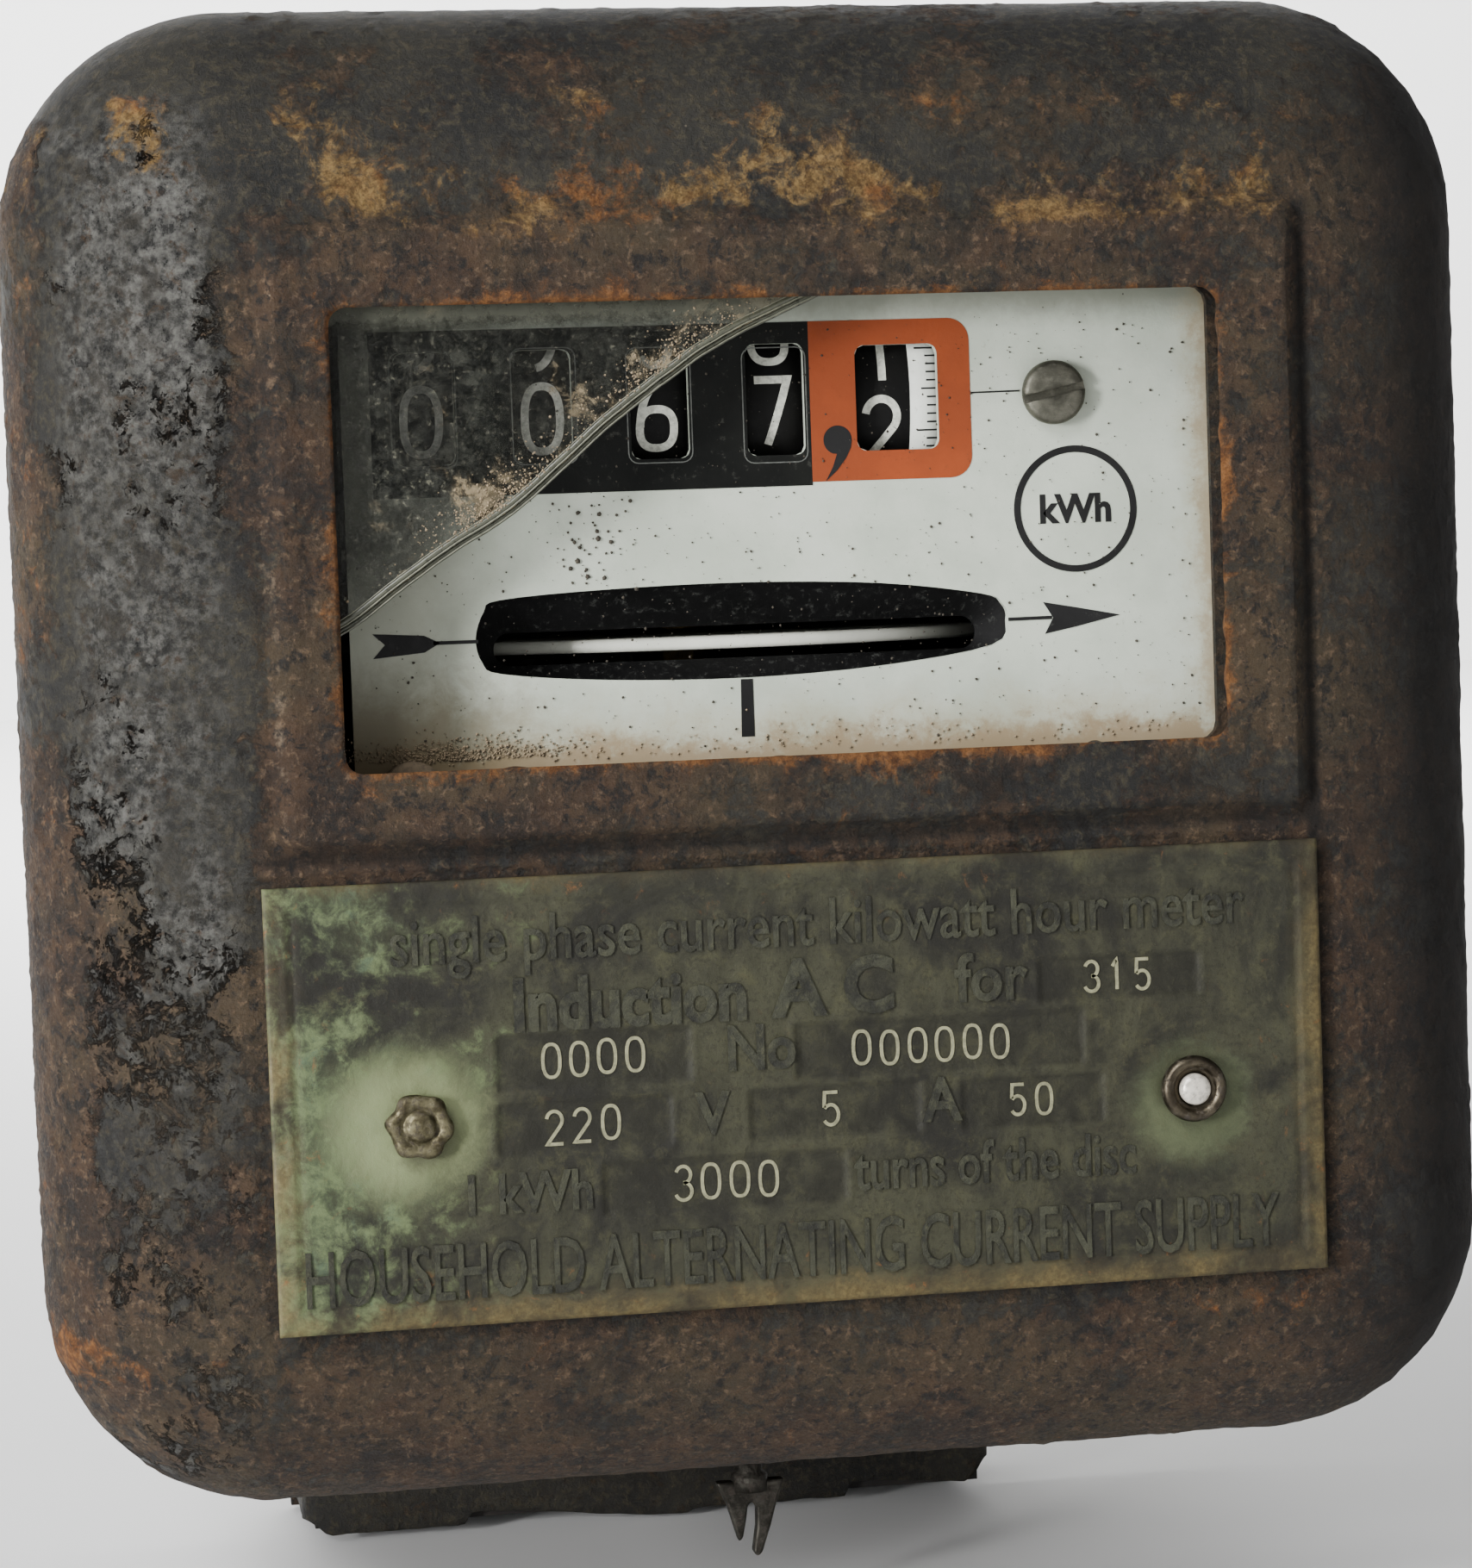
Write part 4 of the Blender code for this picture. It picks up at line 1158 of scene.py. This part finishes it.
def plate_height(x, z):
    """Relief of the data plate in millimetres: border line, sunken fields and slight waves."""
    half_w = (PLATE_HIGH[0] - PLATE_LOW[0]) / 2
    half_h = (PLATE_HIGH[2] - PLATE_LOW[2]) / 2
    edge = -max(abs(x - PLATE_X) - half_w, abs(z - PLATE_Z) - half_h)
    height = 0.05 * fbm(x, 0, z, 18, 3, 4.4) + 0.05 * fbm(x, 0, z, 2.2, 4, 2.2)
    height -= 0.12 * bell(edge - 2.3, 0.25)
    height += 0.08 * bell(edge - 1.7, 0.35)
    height -= 0.12 * (1 - smoothstep(0.0, 0.5, edge))
    for fx, fz, width, tall in FIELDS:
        inside = outside_box(x, z, (fx, fz, width, tall, 0.3))
        height -= 0.17 * (1 - smoothstep(-0.35, 0.1, inside))
        height += 0.06 * bell(inside - 0.2, 0.22)
    return height


def make_nameplate():
    """The plate's face as a fine grid with relief, closed at its sides and back."""
    low, high = PLATE_LOW, PLATE_HIGH
    nx, nz = 300, 124
    verts = []
    for b in range(nz + 1):
        for a in range(nx + 1):
            x = low[0] + (high[0] - low[0]) * a / nx
            z = low[2] + (high[2] - low[2]) * b / nz
            verts.append((x, low[1] + 0.12 - plate_height(x, z), z))
    faces = grid_faces(nx, nz)
    rim = list(range(nx + 1)) + [b * (nx + 1) + nx for b in range(1, nz + 1)]
    rim += [nz * (nx + 1) + a for a in range(nx - 1, -1, -1)]
    rim += [b * (nx + 1) for b in range(nz - 1, 0, -1)]
    start = len(verts)
    verts += [(verts[i][0], high[1], verts[i][2]) for i in rim]
    count = len(rim)
    for k in range(count):
        j = (k + 1) % count
        faces.append((rim[k], rim[j], start + j, start + k))
    faces.append(tuple(range(start, start + count)))
    plate = new_object("data_plate", verts, faces, ["plate_patina"])
    layer = plate.data.attributes.new("field", "FLOAT", "POINT")
    flat = [(v.co.x / MM, v.co.z / MM) for v in plate.data.vertices]
    gaps = [min(outside_box(x, z, (*field, 0.3)) for field in FIELDS) for x, z in flat]
    layer.data.foreach_set("value", [1 - smoothstep(-0.3, 0.2, gap) for gap in gaps])
    put(plate, ["nameplate"])


def make_plate_text():
    """Raised words, and figures stamped into the sunken fields."""
    top = PLATE_LOW[1] - 0.04
    base = PLATE_LOW[1] + 0.25
    for name, text, x, z, height, squeeze, weight in PLATE_WORDS:
        words = lettering(name, text, x, z, height, top, base, "plate_letters", squeeze, weight)
        put(words)
    stamped = Gather()
    floor = PLATE_LOW[1] + 0.29
    for text, x, z, tall in PLATE_FIGURES:
        step = tall * 0.78
        for k, char in enumerate(text):
            flat, quads = figure(char, tall * 0.56, tall, 0.3)
            x0 = x + (k - (len(text) - 1) / 2) * step + RANDOM.uniform(-0.06, 0.06)
            z0 = z + RANDOM.uniform(-0.12, 0.12)
            moved = [(x0 + a, z0 + b) for a, b in flat]
            stamped.add(*thick_strokes(moved, quads, at_depth(floor - 0.07), at_depth(floor + 0.08)))
    put(stamped.make("plate_stamped_figures", "stamped_figures"))


def make_rivet(side, points, bend=None):
    """A hollow rivet of the plate; points are (radius, depth behind its front) from its rim inwards."""
    node = "nameplate_rivet_" + side
    low, high = span(node)
    x, _, z = middle(node)
    profile = [(0.0, high[1]), (1.4, high[1])] + raised(low[1], (1.4, 1.6), *points)
    put(turned("rivet_" + side, profile, "Y", x, z, f"rivet_{side}_metal", 72, bend), [node])


def make_rivets():
    """The left rivet is battered six-sided, the right one round with a bright stud."""
    x, _, z = middle("nameplate_rivet_left")

    def hexed(v):
        dx, dz = v[0] - x, v[2] - z
        r, t = math.hypot(dx, dz), math.atan2(dz, dx)
        corner = 1 + 0.06 * math.cos(6 * t + 0.5) * smoothstep(1.5, 2.6, r)
        corner += 0.07 * noise.noise((dx * 0.9, dz * 0.9, 1.0)) * smoothstep(1.2, 2.4, r)
        drop = 0.12 * noise.noise((dx * 1.3, 4.0, dz * 1.3))
        return (x + dx * corner, v[1] + drop * smoothstep(0.4, 1.5, r), z + dz * corner)

    points = [(2.75, 1.6), (2.85, 1.25), (2.7, 0.85), (2.3, 0.62), (1.8, 0.75), (1.55, 1.0)]
    make_rivet("left", points + [(1.4, 0.95), (1.25, 0.6), (0.9, 0.4), (0.0, 0.32)], hexed)
    points = [(2.85, 1.6), (2.98, 1.35), (2.98, 0.95), (2.8, 0.62), (2.5, 0.45), (2.2, 0.5)]
    make_rivet("right", points + [(1.95, 0.8), (1.75, 1.0), (1.55, 0.95), (1.5, 1.3), (0.0, 1.3)])
    stud_x, _, stud_z = middle("nameplate_rivet_right")
    front = span("nameplate_rivet_right")[0][1]
    stud = raised(front, (0.0, 1.25), (1.42, 1.25), (1.4, 0.5), (1.2, 0.22), (0.7, 0.08), (0.0, 0.0))
    put(turned("rivet_right_stud", stud, "Y", stud_x, stud_z, "bright_stud", 48))


# ---------------------------------------------------------------- below the case


def make_terminal_cover():
    """The guard round the terminals: three rusty sides with a bent lower edge."""
    low, high = span("terminal_cover")
    left, right = low[0], high[0]
    front, back = low[1], high[1]
    top, bottom = high[2], low[2]

    def lower_edge(x):
        edge = bottom + 0.5
        edge += smoothstep(left + 17.0, left + 18.2, x) * (1.35 - 1.85 * smoothstep(left + 18, left + 41, x))
        edge += 0.5 * smoothstep(left + 41.0, left + 42.5, x)
        edge += smoothstep(right - 16.4, right - 15.6, x) * (1.5 - 0.9 * smoothstep(right - 15, right, x))
        edge += 1.6 * smoothstep(left + 3.0, left, x) + 2.4 * smoothstep(right - 3.0, right, x)
        return max(edge + 0.15 * noise.noise((x * 0.35, 2.0, 5.0)), bottom + 0.02)

    reach = back - front
    side_steps, front_steps, rows = 30, 100, 22
    outline = [(left, back - reach * i / side_steps) for i in range(side_steps)]
    outline += [(left + (right - left) * i / front_steps, front) for i in range(front_steps)]
    outline += [(right, front + reach * i / side_steps) for i in range(side_steps + 1)]
    verts = []
    round_r = 2.0
    for x, y in outline:
        dx = max(left + round_r - x, x - right + round_r, 0.0)
        dy = max(front + round_r - y, 0.0)
        if dx > 0 and dy > 0:
            scale = round_r / max(math.hypot(dx, dy), 1e-6)
            x += (dx - dx * scale) * (1 if x < 0 else -1)
            y += dy - dy * scale
        for k in range(rows + 1):
            z = top + (lower_edge(x) - top) * k / rows
            bump = 0.14 * fbm(x, y, z, 3.0, 4, 6.6)
            inward = 0.25 + bump
            verts.append((x + (inward if x < 0 else -inward) * (abs(x) > 30), y + inward, z))
    guard = new_object("terminal_guard", verts, grid_faces(rows, len(outline) - 1), ["guard_rust"])
    face_forward(guard.data)
    thicken(guard, 0.9)
    apply_modifiers(guard)
    put(guard, ["terminal_cover"])


def make_seal_screw():
    """The cover's lower screw; its forked tail takes the seal wire."""
    low, high = span("cover_seal_screw")
    x, y, _ = middle("cover_seal_screw")
    foot, head = low[2], high[2]
    shank = [(0.0, head), (1.3, head)] + raised(foot, (1.3, 8.6), (1.8, 8.2), (1.8, 6.6), (0.0, 6.6))
    put(turned("seal_screw_shank", shank, "Z", x, y, "seal_screw_metal", 40), ["cover_seal_screw"])
    fork = raised(foot, (-3.4, 7.6), (3.4, 7.6), (2.6, 5.4), (1.9, 3.0), (1.0, 0.4), (0.5, 0.0))
    fork += raised(foot, (0.1, 0.5), (0.5, 3.0), (0.55, 4.9), (0.2, 5.5), (-0.3, 5.2), (-0.5, 3.8))
    fork += raised(foot, (-0.9, 1.9), (-1.3, 1.6), (-1.8, 3.4), (-2.4, 5.4))
    tail = slab("seal_screw_fork", [[(x + a, c) for a, c in fork]], y - 0.7, y + 0.7, "seal_screw_metal")
    soften(tail, 0.25)
    put(apply_modifiers(tail))


# ---------------------------------------------------------------- finishes of the CAD pieces


def repaint(names, mat, bevel=0.0):
    """Gives CAD nodes a finish and, if asked, softer edges."""
    for name in names:
        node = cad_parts[name]
        node.data.materials.clear()
        node.data.materials.append(MATS[mat])
        for polygon in node.data.polygons:
            polygon.material_index = 0
        if bevel:
            soft = soften(node, bevel)
            soft.limit_method = "ANGLE"
            soft.angle_limit = math.radians(40)
            soft.harden_normals = False


def plate_finish():
    """Brass under brown tarnish, with green verdigris at the left and golden rust stain at the rim."""
    n = Nodes("plate_patina")
    x = n.mm(0)
    z = n.mm(2)
    cloud = n.noise(12.0, 6, 0.68, warp=0.5)
    small = n.noise(2.4, 7, 0.74, warp=0.3)
    fine = n.noise(0.6, 5, 0.75)
    base = n.mix(n.ramp(cloud, 0.38, 0.64), (0.013, 0.0125, 0.0095), (0.038, 0.038, 0.022))
    base = n.mix(n.ramp(small, 0.48, 0.7, 0.0, 0.7), base, (0.056, 0.055, 0.028))
    base = n.mix(n.ramp(fine, 0.5, 0.64, 0.0, 0.6), base, (0.012, 0.011, 0.008))
    green_at = n.add(n.ramp(x, -47.0, -14.0, 0.72, 0.1), n.sway(cloud, 1.6))
    green = n.ramp(n.add(green_at, n.sway(small, 0.9)), 0.4, 0.85)
    verdigris = n.mix(n.ramp(small, 0.38, 0.62), (0.03, 0.042, 0.019), (0.095, 0.125, 0.055))
    bluish = n.ramp(n.noise(5.0, 7, 0.75, warp=0.4, offset=(3, 1, 2)), 0.52, 0.66, 0.0, 0.7)
    verdigris = n.mix(bluish, verdigris, (0.055, 0.095, 0.06))
    colour = n.mix(n.times(green, 0.85), base, verdigris)

    def near(cx, cz, reach):
        dx = n.less(x, cx)
        dz = n.less(z, cz)
        gap = n.math("SQRT", n.add(n.times(dx, dx), n.times(dz, dz)))
        return n.ramp(n.add(gap, n.sway(small, reach * 0.9)), reach * 0.4, reach, 1.0, 0.0)

    rx, _, rz = middle("nameplate_rivet_left")
    colour = n.mix(n.times(near(rx - 1.0, rz, 8.5), 0.75), colour, (0.17, 0.195, 0.095))
    colour = n.mix(n.times(near(rx + 0.5, rz - 1.0, 3.8), 0.6), colour, (0.05, 0.045, 0.03))
    rx, _, rz = middle("nameplate_rivet_right")
    colour = n.mix(n.times(near(rx, rz - 1.5, 7.0), 0.55), colour, (0.11, 0.13, 0.065))
    colour = n.mix(n.times(near(rx, rz, 4.2), 0.7), colour, (0.03, 0.028, 0.018))
    side = n.less((PLATE_HIGH[0] - PLATE_LOW[0]) / 2, n.math("ABSOLUTE", n.less(x, PLATE_X)))
    foot = n.less(z, PLATE_LOW[2])
    head = n.add(n.less(PLATE_HIGH[2], z), 2.0)
    rim = n.least(n.least(side, foot), head)
    rim = n.add(rim, n.sway(small, 5.0))
    gold = n.times(n.ramp(rim, 0.0, 3.4, 1.0, 0.0), n.ramp(cloud, 0.4, 0.62, 0.2, 1.0))
    gold = n.times(gold, 0.75)
    colour = n.mix(gold, colour, n.mix(n.ramp(fine, 0.4, 0.65), (0.085, 0.058, 0.02), (0.15, 0.115, 0.045)))
    orange = n.ramp(n.noise(1.7, 6, 0.75, warp=0.6), 0.6, 0.72)
    colour = n.mix(n.times(orange, n.ramp(rim, 1.0, 9.0, 0.75, 0.06)), colour, (0.15, 0.062, 0.018))
    pale = n.ramp(fine, 0.6, 0.74, 0.0, 0.45)
    colour = n.mix(pale, colour, (0.11, 0.11, 0.058))
    sunk = n.times(n.mark("field"), n.ramp(small, 0.36, 0.6, 0.9, 0.4))
    colour = n.mix(sunk, colour, (0.013, 0.0125, 0.0085))
    normal = n.bump(n.add(n.times(small, 0.6), n.times(fine, 0.5)), 0.12)
    shine = n.ramp(green, 0.0, 1.0, 0.3, 0.0)
    n.done(colour, n.ramp(small, 0.35, 0.65, 0.45, 0.75), shine, normal, Specular_IOR_Level=0.3)


def dial_finish():
    """Pale printed sheet, stained brown along its lower and right edges, with painted shadow along its top
    and over its left part.
    """
    n = Nodes("dial_paint")
    x = n.mm(0)
    z = n.mm(2)
    cloud = n.noise(14.0, 5, 0.6)
    small = n.noise(3.0, 7, 0.72, warp=0.3)
    fine = n.noise(0.5, 5, 0.75)
    colour = n.mix(n.ramp(cloud, 0.35, 0.65), (0.37, 0.405, 0.335), (0.46, 0.495, 0.42))
    # Painted shadow of the window's top edge along the top of the dial.
    head = n.add(z, n.sway(small, 3.0))
    colour = n.mix(n.ramp(head, 36.4, 40.0, 0.0, 0.75), colour, (0.16, 0.165, 0.125))
    # Painted shadow of the window's left edge over the left part of the dial.
    west = n.add(x, n.sway(small, 6.0))
    colour = n.mix(n.ramp(west, -34.0, -20.0, 0.6, 0.0), colour, (0.16, 0.155, 0.11))
    foot = n.add(z, n.sway(small, 9.0))
    stain = n.ramp(foot, -1.0, 6.0, 1.0, 0.0)
    side = n.add(n.less(41.5, x), n.sway(small, 7.0))
    stain = n.most(stain, n.ramp(side, 0.3, 4.2, 0.9, 0.0))
    colour = n.mix(n.times(stain, 0.5), colour, (0.3, 0.23, 0.11))
    deep = n.ramp(n.add(foot, n.times(fine, 3.0)), 1.0, 3.6, 1.0, 0.0)
    deep = n.most(deep, n.ramp(n.add(side, n.times(fine, 4.0)), 1.6, 4.4, 0.8, 0.0))
    colour = n.mix(n.times(deep, 0.55), colour, (0.2, 0.105, 0.035))
    corner = n.times(n.ramp(west, -31.0, -16.0, 1.0, 0.0), n.ramp(foot, 3.0, 10.0, 1.0, 0.0))
    colour = n.mix(n.times(corner, 0.75), colour, (0.1, 0.082, 0.045))
    speck = n.ramp(n.cells(1.1), 0.05, 0.1, 1.0, 0.0)
    colour = n.mix(n.times(speck, n.ramp(small, 0.5, 0.6)), colour, (0.05, 0.045, 0.035))
    dirt = n.ramp(n.noise(0.7, 7, 0.8), 0.6, 0.74, 0.0, 0.6)
    colour = n.mix(dirt, colour, (0.17, 0.155, 0.11))
    n.done(colour, n.ramp(small, 0.3, 0.7, 0.45, 0.7), 0.0, n.bump(fine, 0.02), Specular_IOR_Level=0.3)


def pane_finish():
    """Old glass under a dark film, clearer in some places and sandy in others, with painted shade down its
    left edge and a grey band along its top that is partly painted shade.
    """
    n = Nodes("dirty_pane")
    cloud = n.noise(8.0, 6, 0.68)
    small = n.noise(1.3, 7, 0.78)
    fine = n.noise(0.45, 6, 0.78)
    sand = n.noise(5.5, 8, 0.75, warp=0.3)
    colour = n.mix(n.ramp(small, 0.42, 0.66), (0.005, 0.0055, 0.0045), (0.03, 0.031, 0.023))
    colour = n.mix(n.ramp(fine, 0.55, 0.68, 0.0, 0.85), colour, (0.13, 0.125, 0.09))
    rise = n.times(n.add(n.axis(0), 0.039), 0.76)
    away = n.less(n.less(n.axis(2), 0.0125), rise)
    sandy = n.ramp(n.add(sand, n.ramp(away, 0.001, 0.0065, 0.12, 0.0)), 0.6, 0.7)
    colour = n.mix(n.times(sandy, 0.85), colour, n.mix(fine, (0.11, 0.085, 0.045), (0.3, 0.24, 0.15)))
    film = n.add(n.times(cloud, 0.75), n.times(small, 0.35))
    alpha = n.ramp(film, 0.44, 0.72, 0.2, 0.7)
    alpha = n.add(alpha, n.ramp(fine, 0.56, 0.7, 0.0, 0.4))
    wander = n.sway(small, 0.004)
    # A near-black strip down the left edge: painted shade of the gap behind the window's left wall.
    rim = n.ramp(n.add(n.axis(0), wander), -0.0402, -0.0392, 1.0, 0.0)
    # A grey band along the top: dust on the glass and painted shade of the dial's top edge behind it.
    head = n.ramp(n.add(n.axis(2), wander), 0.0372, 0.0388)
    colour = n.mix(n.times(head, 0.8), colour, (0.06, 0.062, 0.045))
    colour = n.mix(rim, colour, (0.006, 0.005, 0.004))
    alpha = n.most(alpha, n.times(head, 0.85))
    alpha = n.most(alpha, n.times(rim, 0.97))
    alpha = n.most(alpha, n.times(sandy, 0.93), clamp=True)
    n.link(alpha, n.shader.inputs["Alpha"])
    rough = n.ramp(small, 0.35, 0.65, 0.15, 0.6)
    n.done(colour, rough, 0.0, n.bump(fine, 0.02), Specular_IOR_Level=0.3)


def plain(name, colour, rough, metal=0.0):
    """A small one-colour piece with a slight speckle."""
    n = Nodes(name)
    fine = n.noise(0.6, 5, 0.7)
    darker = tuple(c * 0.6 for c in colour)
    out = n.mix(n.ramp(fine, 0.35, 0.6), darker, colour)
    n.done(out, n.ramp(fine, 0.3, 0.7, rough - 0.05, rough + 0.12), metal, n.bump(fine, 0.02))


def make_materials():
    """Every finish, kept in MATS under its own name."""
    rusty_enamel("enamel_and_rust")
    plain_rust("cover_inside", (0.01, 0.008, 0.006), (0.035, 0.024, 0.015), 5.0, (0.05, 0.033, 0.02))
    rusty_enamel("case_rust", 0.55, 0.12)
    rusty_enamel("guard_rust", 0.3, 0.02)
    plate_finish()
    plain_rust("plate_letters", (0.011, 0.011, 0.008), (0.034, 0.035, 0.022), 2.5, (0.06, 0.06, 0.036))
    plain("stamped_figures", (0.22, 0.215, 0.125), 0.5, 0.0)
    dial_finish()
    flat_paint(
        "black_band", (0.004, 0.0045, 0.004), (0.007, 0.0075, 0.0065), 0.45, (0.045, 0.045, 0.038), 0.1, 0.56
    )
    flat_paint("red_frame", (0.25, 0.048, 0.012), (0.2, 0.04, 0.011), 0.5, (0.1, 0.035, 0.015), 0.2)
    plain("window_outline", (0.09, 0.095, 0.085), 0.4)
    flat_paint(
        "slot_shade_paint", (0.003, 0.003, 0.003), (0.005, 0.005, 0.005), 0.5, (0.05, 0.052, 0.047), 0.1, 0.54
    )
    flat_paint("ink_black", (0.008, 0.008, 0.008), (0.012, 0.012, 0.012), 0.45, (0.06, 0.06, 0.055), 0.15)
    plain("ink_white", (0.62, 0.63, 0.55), 0.5)
    flat_paint("scale_white", (0.66, 0.68, 0.62), (0.56, 0.58, 0.52), 0.45)
    flat_paint(
        "drum_black_paint", (0.003, 0.003, 0.003), (0.005, 0.005, 0.0045), 0.45, (0.05, 0.05, 0.045), 0.12
    )
    pane_finish()
    plain("pane_edge", (0.062, 0.064, 0.043), 0.3)
    plain("pane_line", (0.15, 0.15, 0.105), 0.3)
    plain("sand", (0.26, 0.2, 0.125), 0.9)
    plain("crumbs", (0.05, 0.042, 0.03), 0.9)
    old_metal(
        "rivet_left_metal", (0.15, 0.135, 0.08), (0.05, 0.042, 0.024), 0.45, (0.03, 0.022, 0.012), 0.7, 1.2
    )
    old_metal(
        "rivet_right_metal", (0.1, 0.085, 0.06), (0.04, 0.033, 0.024), 0.35, (0.02, 0.015, 0.01), 0.5, 1.5
    )
    plain("bright_stud", (0.62, 0.58, 0.5), 0.3, 0.3)
    old_metal(
        "dial_screw_metal", (0.16, 0.155, 0.125), (0.09, 0.088, 0.07), 0.5, (0.045, 0.04, 0.028), 0.3, 1.5
    )
    plain("dial_screw_dirt", (0.16, 0.12, 0.075), 0.85)
    old_metal("dull_steel", (0.3, 0.3, 0.29), (0.15, 0.15, 0.14), 0.35, (0.07, 0.045, 0.026), 0.4, 4.0)
    old_metal("dull_brass", (0.4, 0.28, 0.11), (0.2, 0.14, 0.06), 0.35, (0.05, 0.036, 0.02), 0.4, 3.0)
    flat_paint("disc_aluminium", (0.72, 0.73, 0.64), (0.6, 0.61, 0.53), 0.35, (0.3, 0.28, 0.2), 0.6)
    old_metal("core_iron", (0.16, 0.15, 0.14), (0.06, 0.055, 0.05), 0.5, (0.06, 0.035, 0.02), 0.5, 3.0)
    plain("coil_varnish", (0.14, 0.045, 0.018), 0.35)
    flat_paint("bakelite", (0.009, 0.008, 0.0075), (0.018, 0.015, 0.013), 0.4, (0.06, 0.05, 0.035), 0.3)
    plain("felt", (0.1, 0.09, 0.07), 0.95)
    old_metal(
        "seal_screw_metal", (0.07, 0.066, 0.056), (0.028, 0.026, 0.022), 0.5, (0.03, 0.02, 0.013), 0.6, 1.5
    )


STEEL = ["mech_frame", "magnet_bracket", "register_frame", "drum_shaft", "transfer_shaft", "rotor_spindle"]
STEEL += ["spindle_worm", "arbor_a", "arbor_b", "dial_pillar_left", "dial_pillar_right"]
BRASS = ["lower_bearing", "upper_bearing", "rotor_hub", "worm_wheel", "wheel_b", "wheel_c"]
BRASS += [f"transfer_pinion_{i}" for i in range(1, 5)]
BRASS += [f"terminal_clamp_{i}" for i in range(1, 5)] + [f"terminal_screw_{i}" for i in range(1, 5)]


def finish_cad():
    repaint(STEEL, "dull_steel")
    repaint(BRASS, "dull_brass")
    repaint(["voltage_core", "current_core", "brake_magnet"], "core_iron", 0.3)
    repaint(["voltage_coil", "current_coil_left", "current_coil_right"], "coil_varnish", 0.8)
    repaint(["terminal_block"], "bakelite", 0.3)
    repaint(["cover_gasket"], "felt")
    repaint(["dial_plate"], "dial_paint", 0.12)
    repaint(["base_pan"], "case_rust", 0.5)
    repaint(["hanging_lug", "window_retainer"], "case_rust", 0.3)
    repaint(["terminal_cover_screw"], "seal_screw_metal", 0.25)


# ---------------------------------------------------------------- stage and camera


CAMERA_TURN = (0.059, -0.173, -0.035)
CAMERA_OFFSET = (5.212, -3.104, 359.994)
CAMERA_LENS = 93.885


def set_camera():
    """The camera stands 0.36 m in front of the cover, to the reader's left and a little above."""
    tilt, pan, roll = CAMERA_TURN
    turn = Matrix.Rotation(roll, 3, "Z") @ Matrix.Rotation(tilt, 3, "X") @ Matrix.Rotation(pan, 3, "Y")
    axes = turn @ Matrix(((1, 0, 0), (0, 0, -1), (0, 1, 0)))
    place = Vector((0.0, PANEL_Y, 0.0)) * MM - axes.transposed() @ Vector(CAMERA_OFFSET) * MM
    flip = Matrix(((1, 0, 0), (0, -1, 0), (0, 0, -1)))
    data = bpy.data.cameras.new("camera")
    data.lens = CAMERA_LENS
    data.sensor_width = 36.0
    data.clip_start = 0.01
    camera = linked("camera", data)
    camera.matrix_world = Matrix.Translation(place) @ (flip @ axes).transposed().to_4x4()
    bpy.context.scene.camera = camera


def area_light(name, place, target, size, power, colour=(1, 1, 1)):
    data = bpy.data.lights.new(name, "AREA")
    data.shape = "RECTANGLE"
    data.size, data.size_y = size
    data.energy = power
    data.color = colour
    light = linked(name, data)
    light.location = place
    light.rotation_euler = (Vector(target) - Vector(place)).to_track_quat("-Z", "Y").to_euler()


def set_stage():
    floor_z = CAD_BOX[0][2]
    n = Nodes("pale_floor")
    n.done((0.87, 0.87, 0.86), 0.8)
    for name, place, turn in (("floor", (0, 0, floor_z - 0.0005), 0), ("backdrop", (0, 2.4, 0), math.pi / 2)):
        bpy.ops.mesh.primitive_plane_add(size=9, location=place, rotation=(turn, 0, 0))
        sheet = bpy.context.object
        sheet.name = name
        sheet.data.materials.append(n.mat)
    world = bpy.data.worlds.new("studio")
    world.use_nodes = True
    world.node_tree.nodes["Background"].inputs["Color"].default_value = (0.95, 0.96, 1.0, 1.0)
    world.node_tree.nodes["Background"].inputs["Strength"].default_value = 0.3
    bpy.context.scene.world = world
    area_light("key", (-0.75, -0.8, 0.95), (0, -0.05, 0), (0.6, 0.6), 24.0, (0.98, 0.985, 1.0))
    area_light("side", (-0.84, -0.66, 0.1), (0, -0.05, 0.02), (0.16, 0.3), 17.0, (0.99, 0.99, 1.0))
    area_light("fill", (0.5, -1.2, 0.3), (0, -0.05, 0), (1.0, 1.0), 2.0, (1.0, 0.97, 0.93))
    area_light("backdrop_light", (0, 0.9, 1.3), (0, 2.4, 0.2), (2.5, 1.2), 130.0)


def main():
    make_materials()
    finish_cad()
    make_cover()
    for index in range(len(DRUMS)):
        make_drum(index)
    make_dial()
    make_slot_shade()
    make_disc()
    make_dial_screw("left", "dial_screw_dirt")
    make_dial_screw("right", "dial_screw_metal")
    make_glass()
    make_grit()
    make_nameplate()
    make_plate_text()
    make_rivets()
    make_terminal_cover()
    make_seal_screw()
    set_camera()
    set_stage()


main()
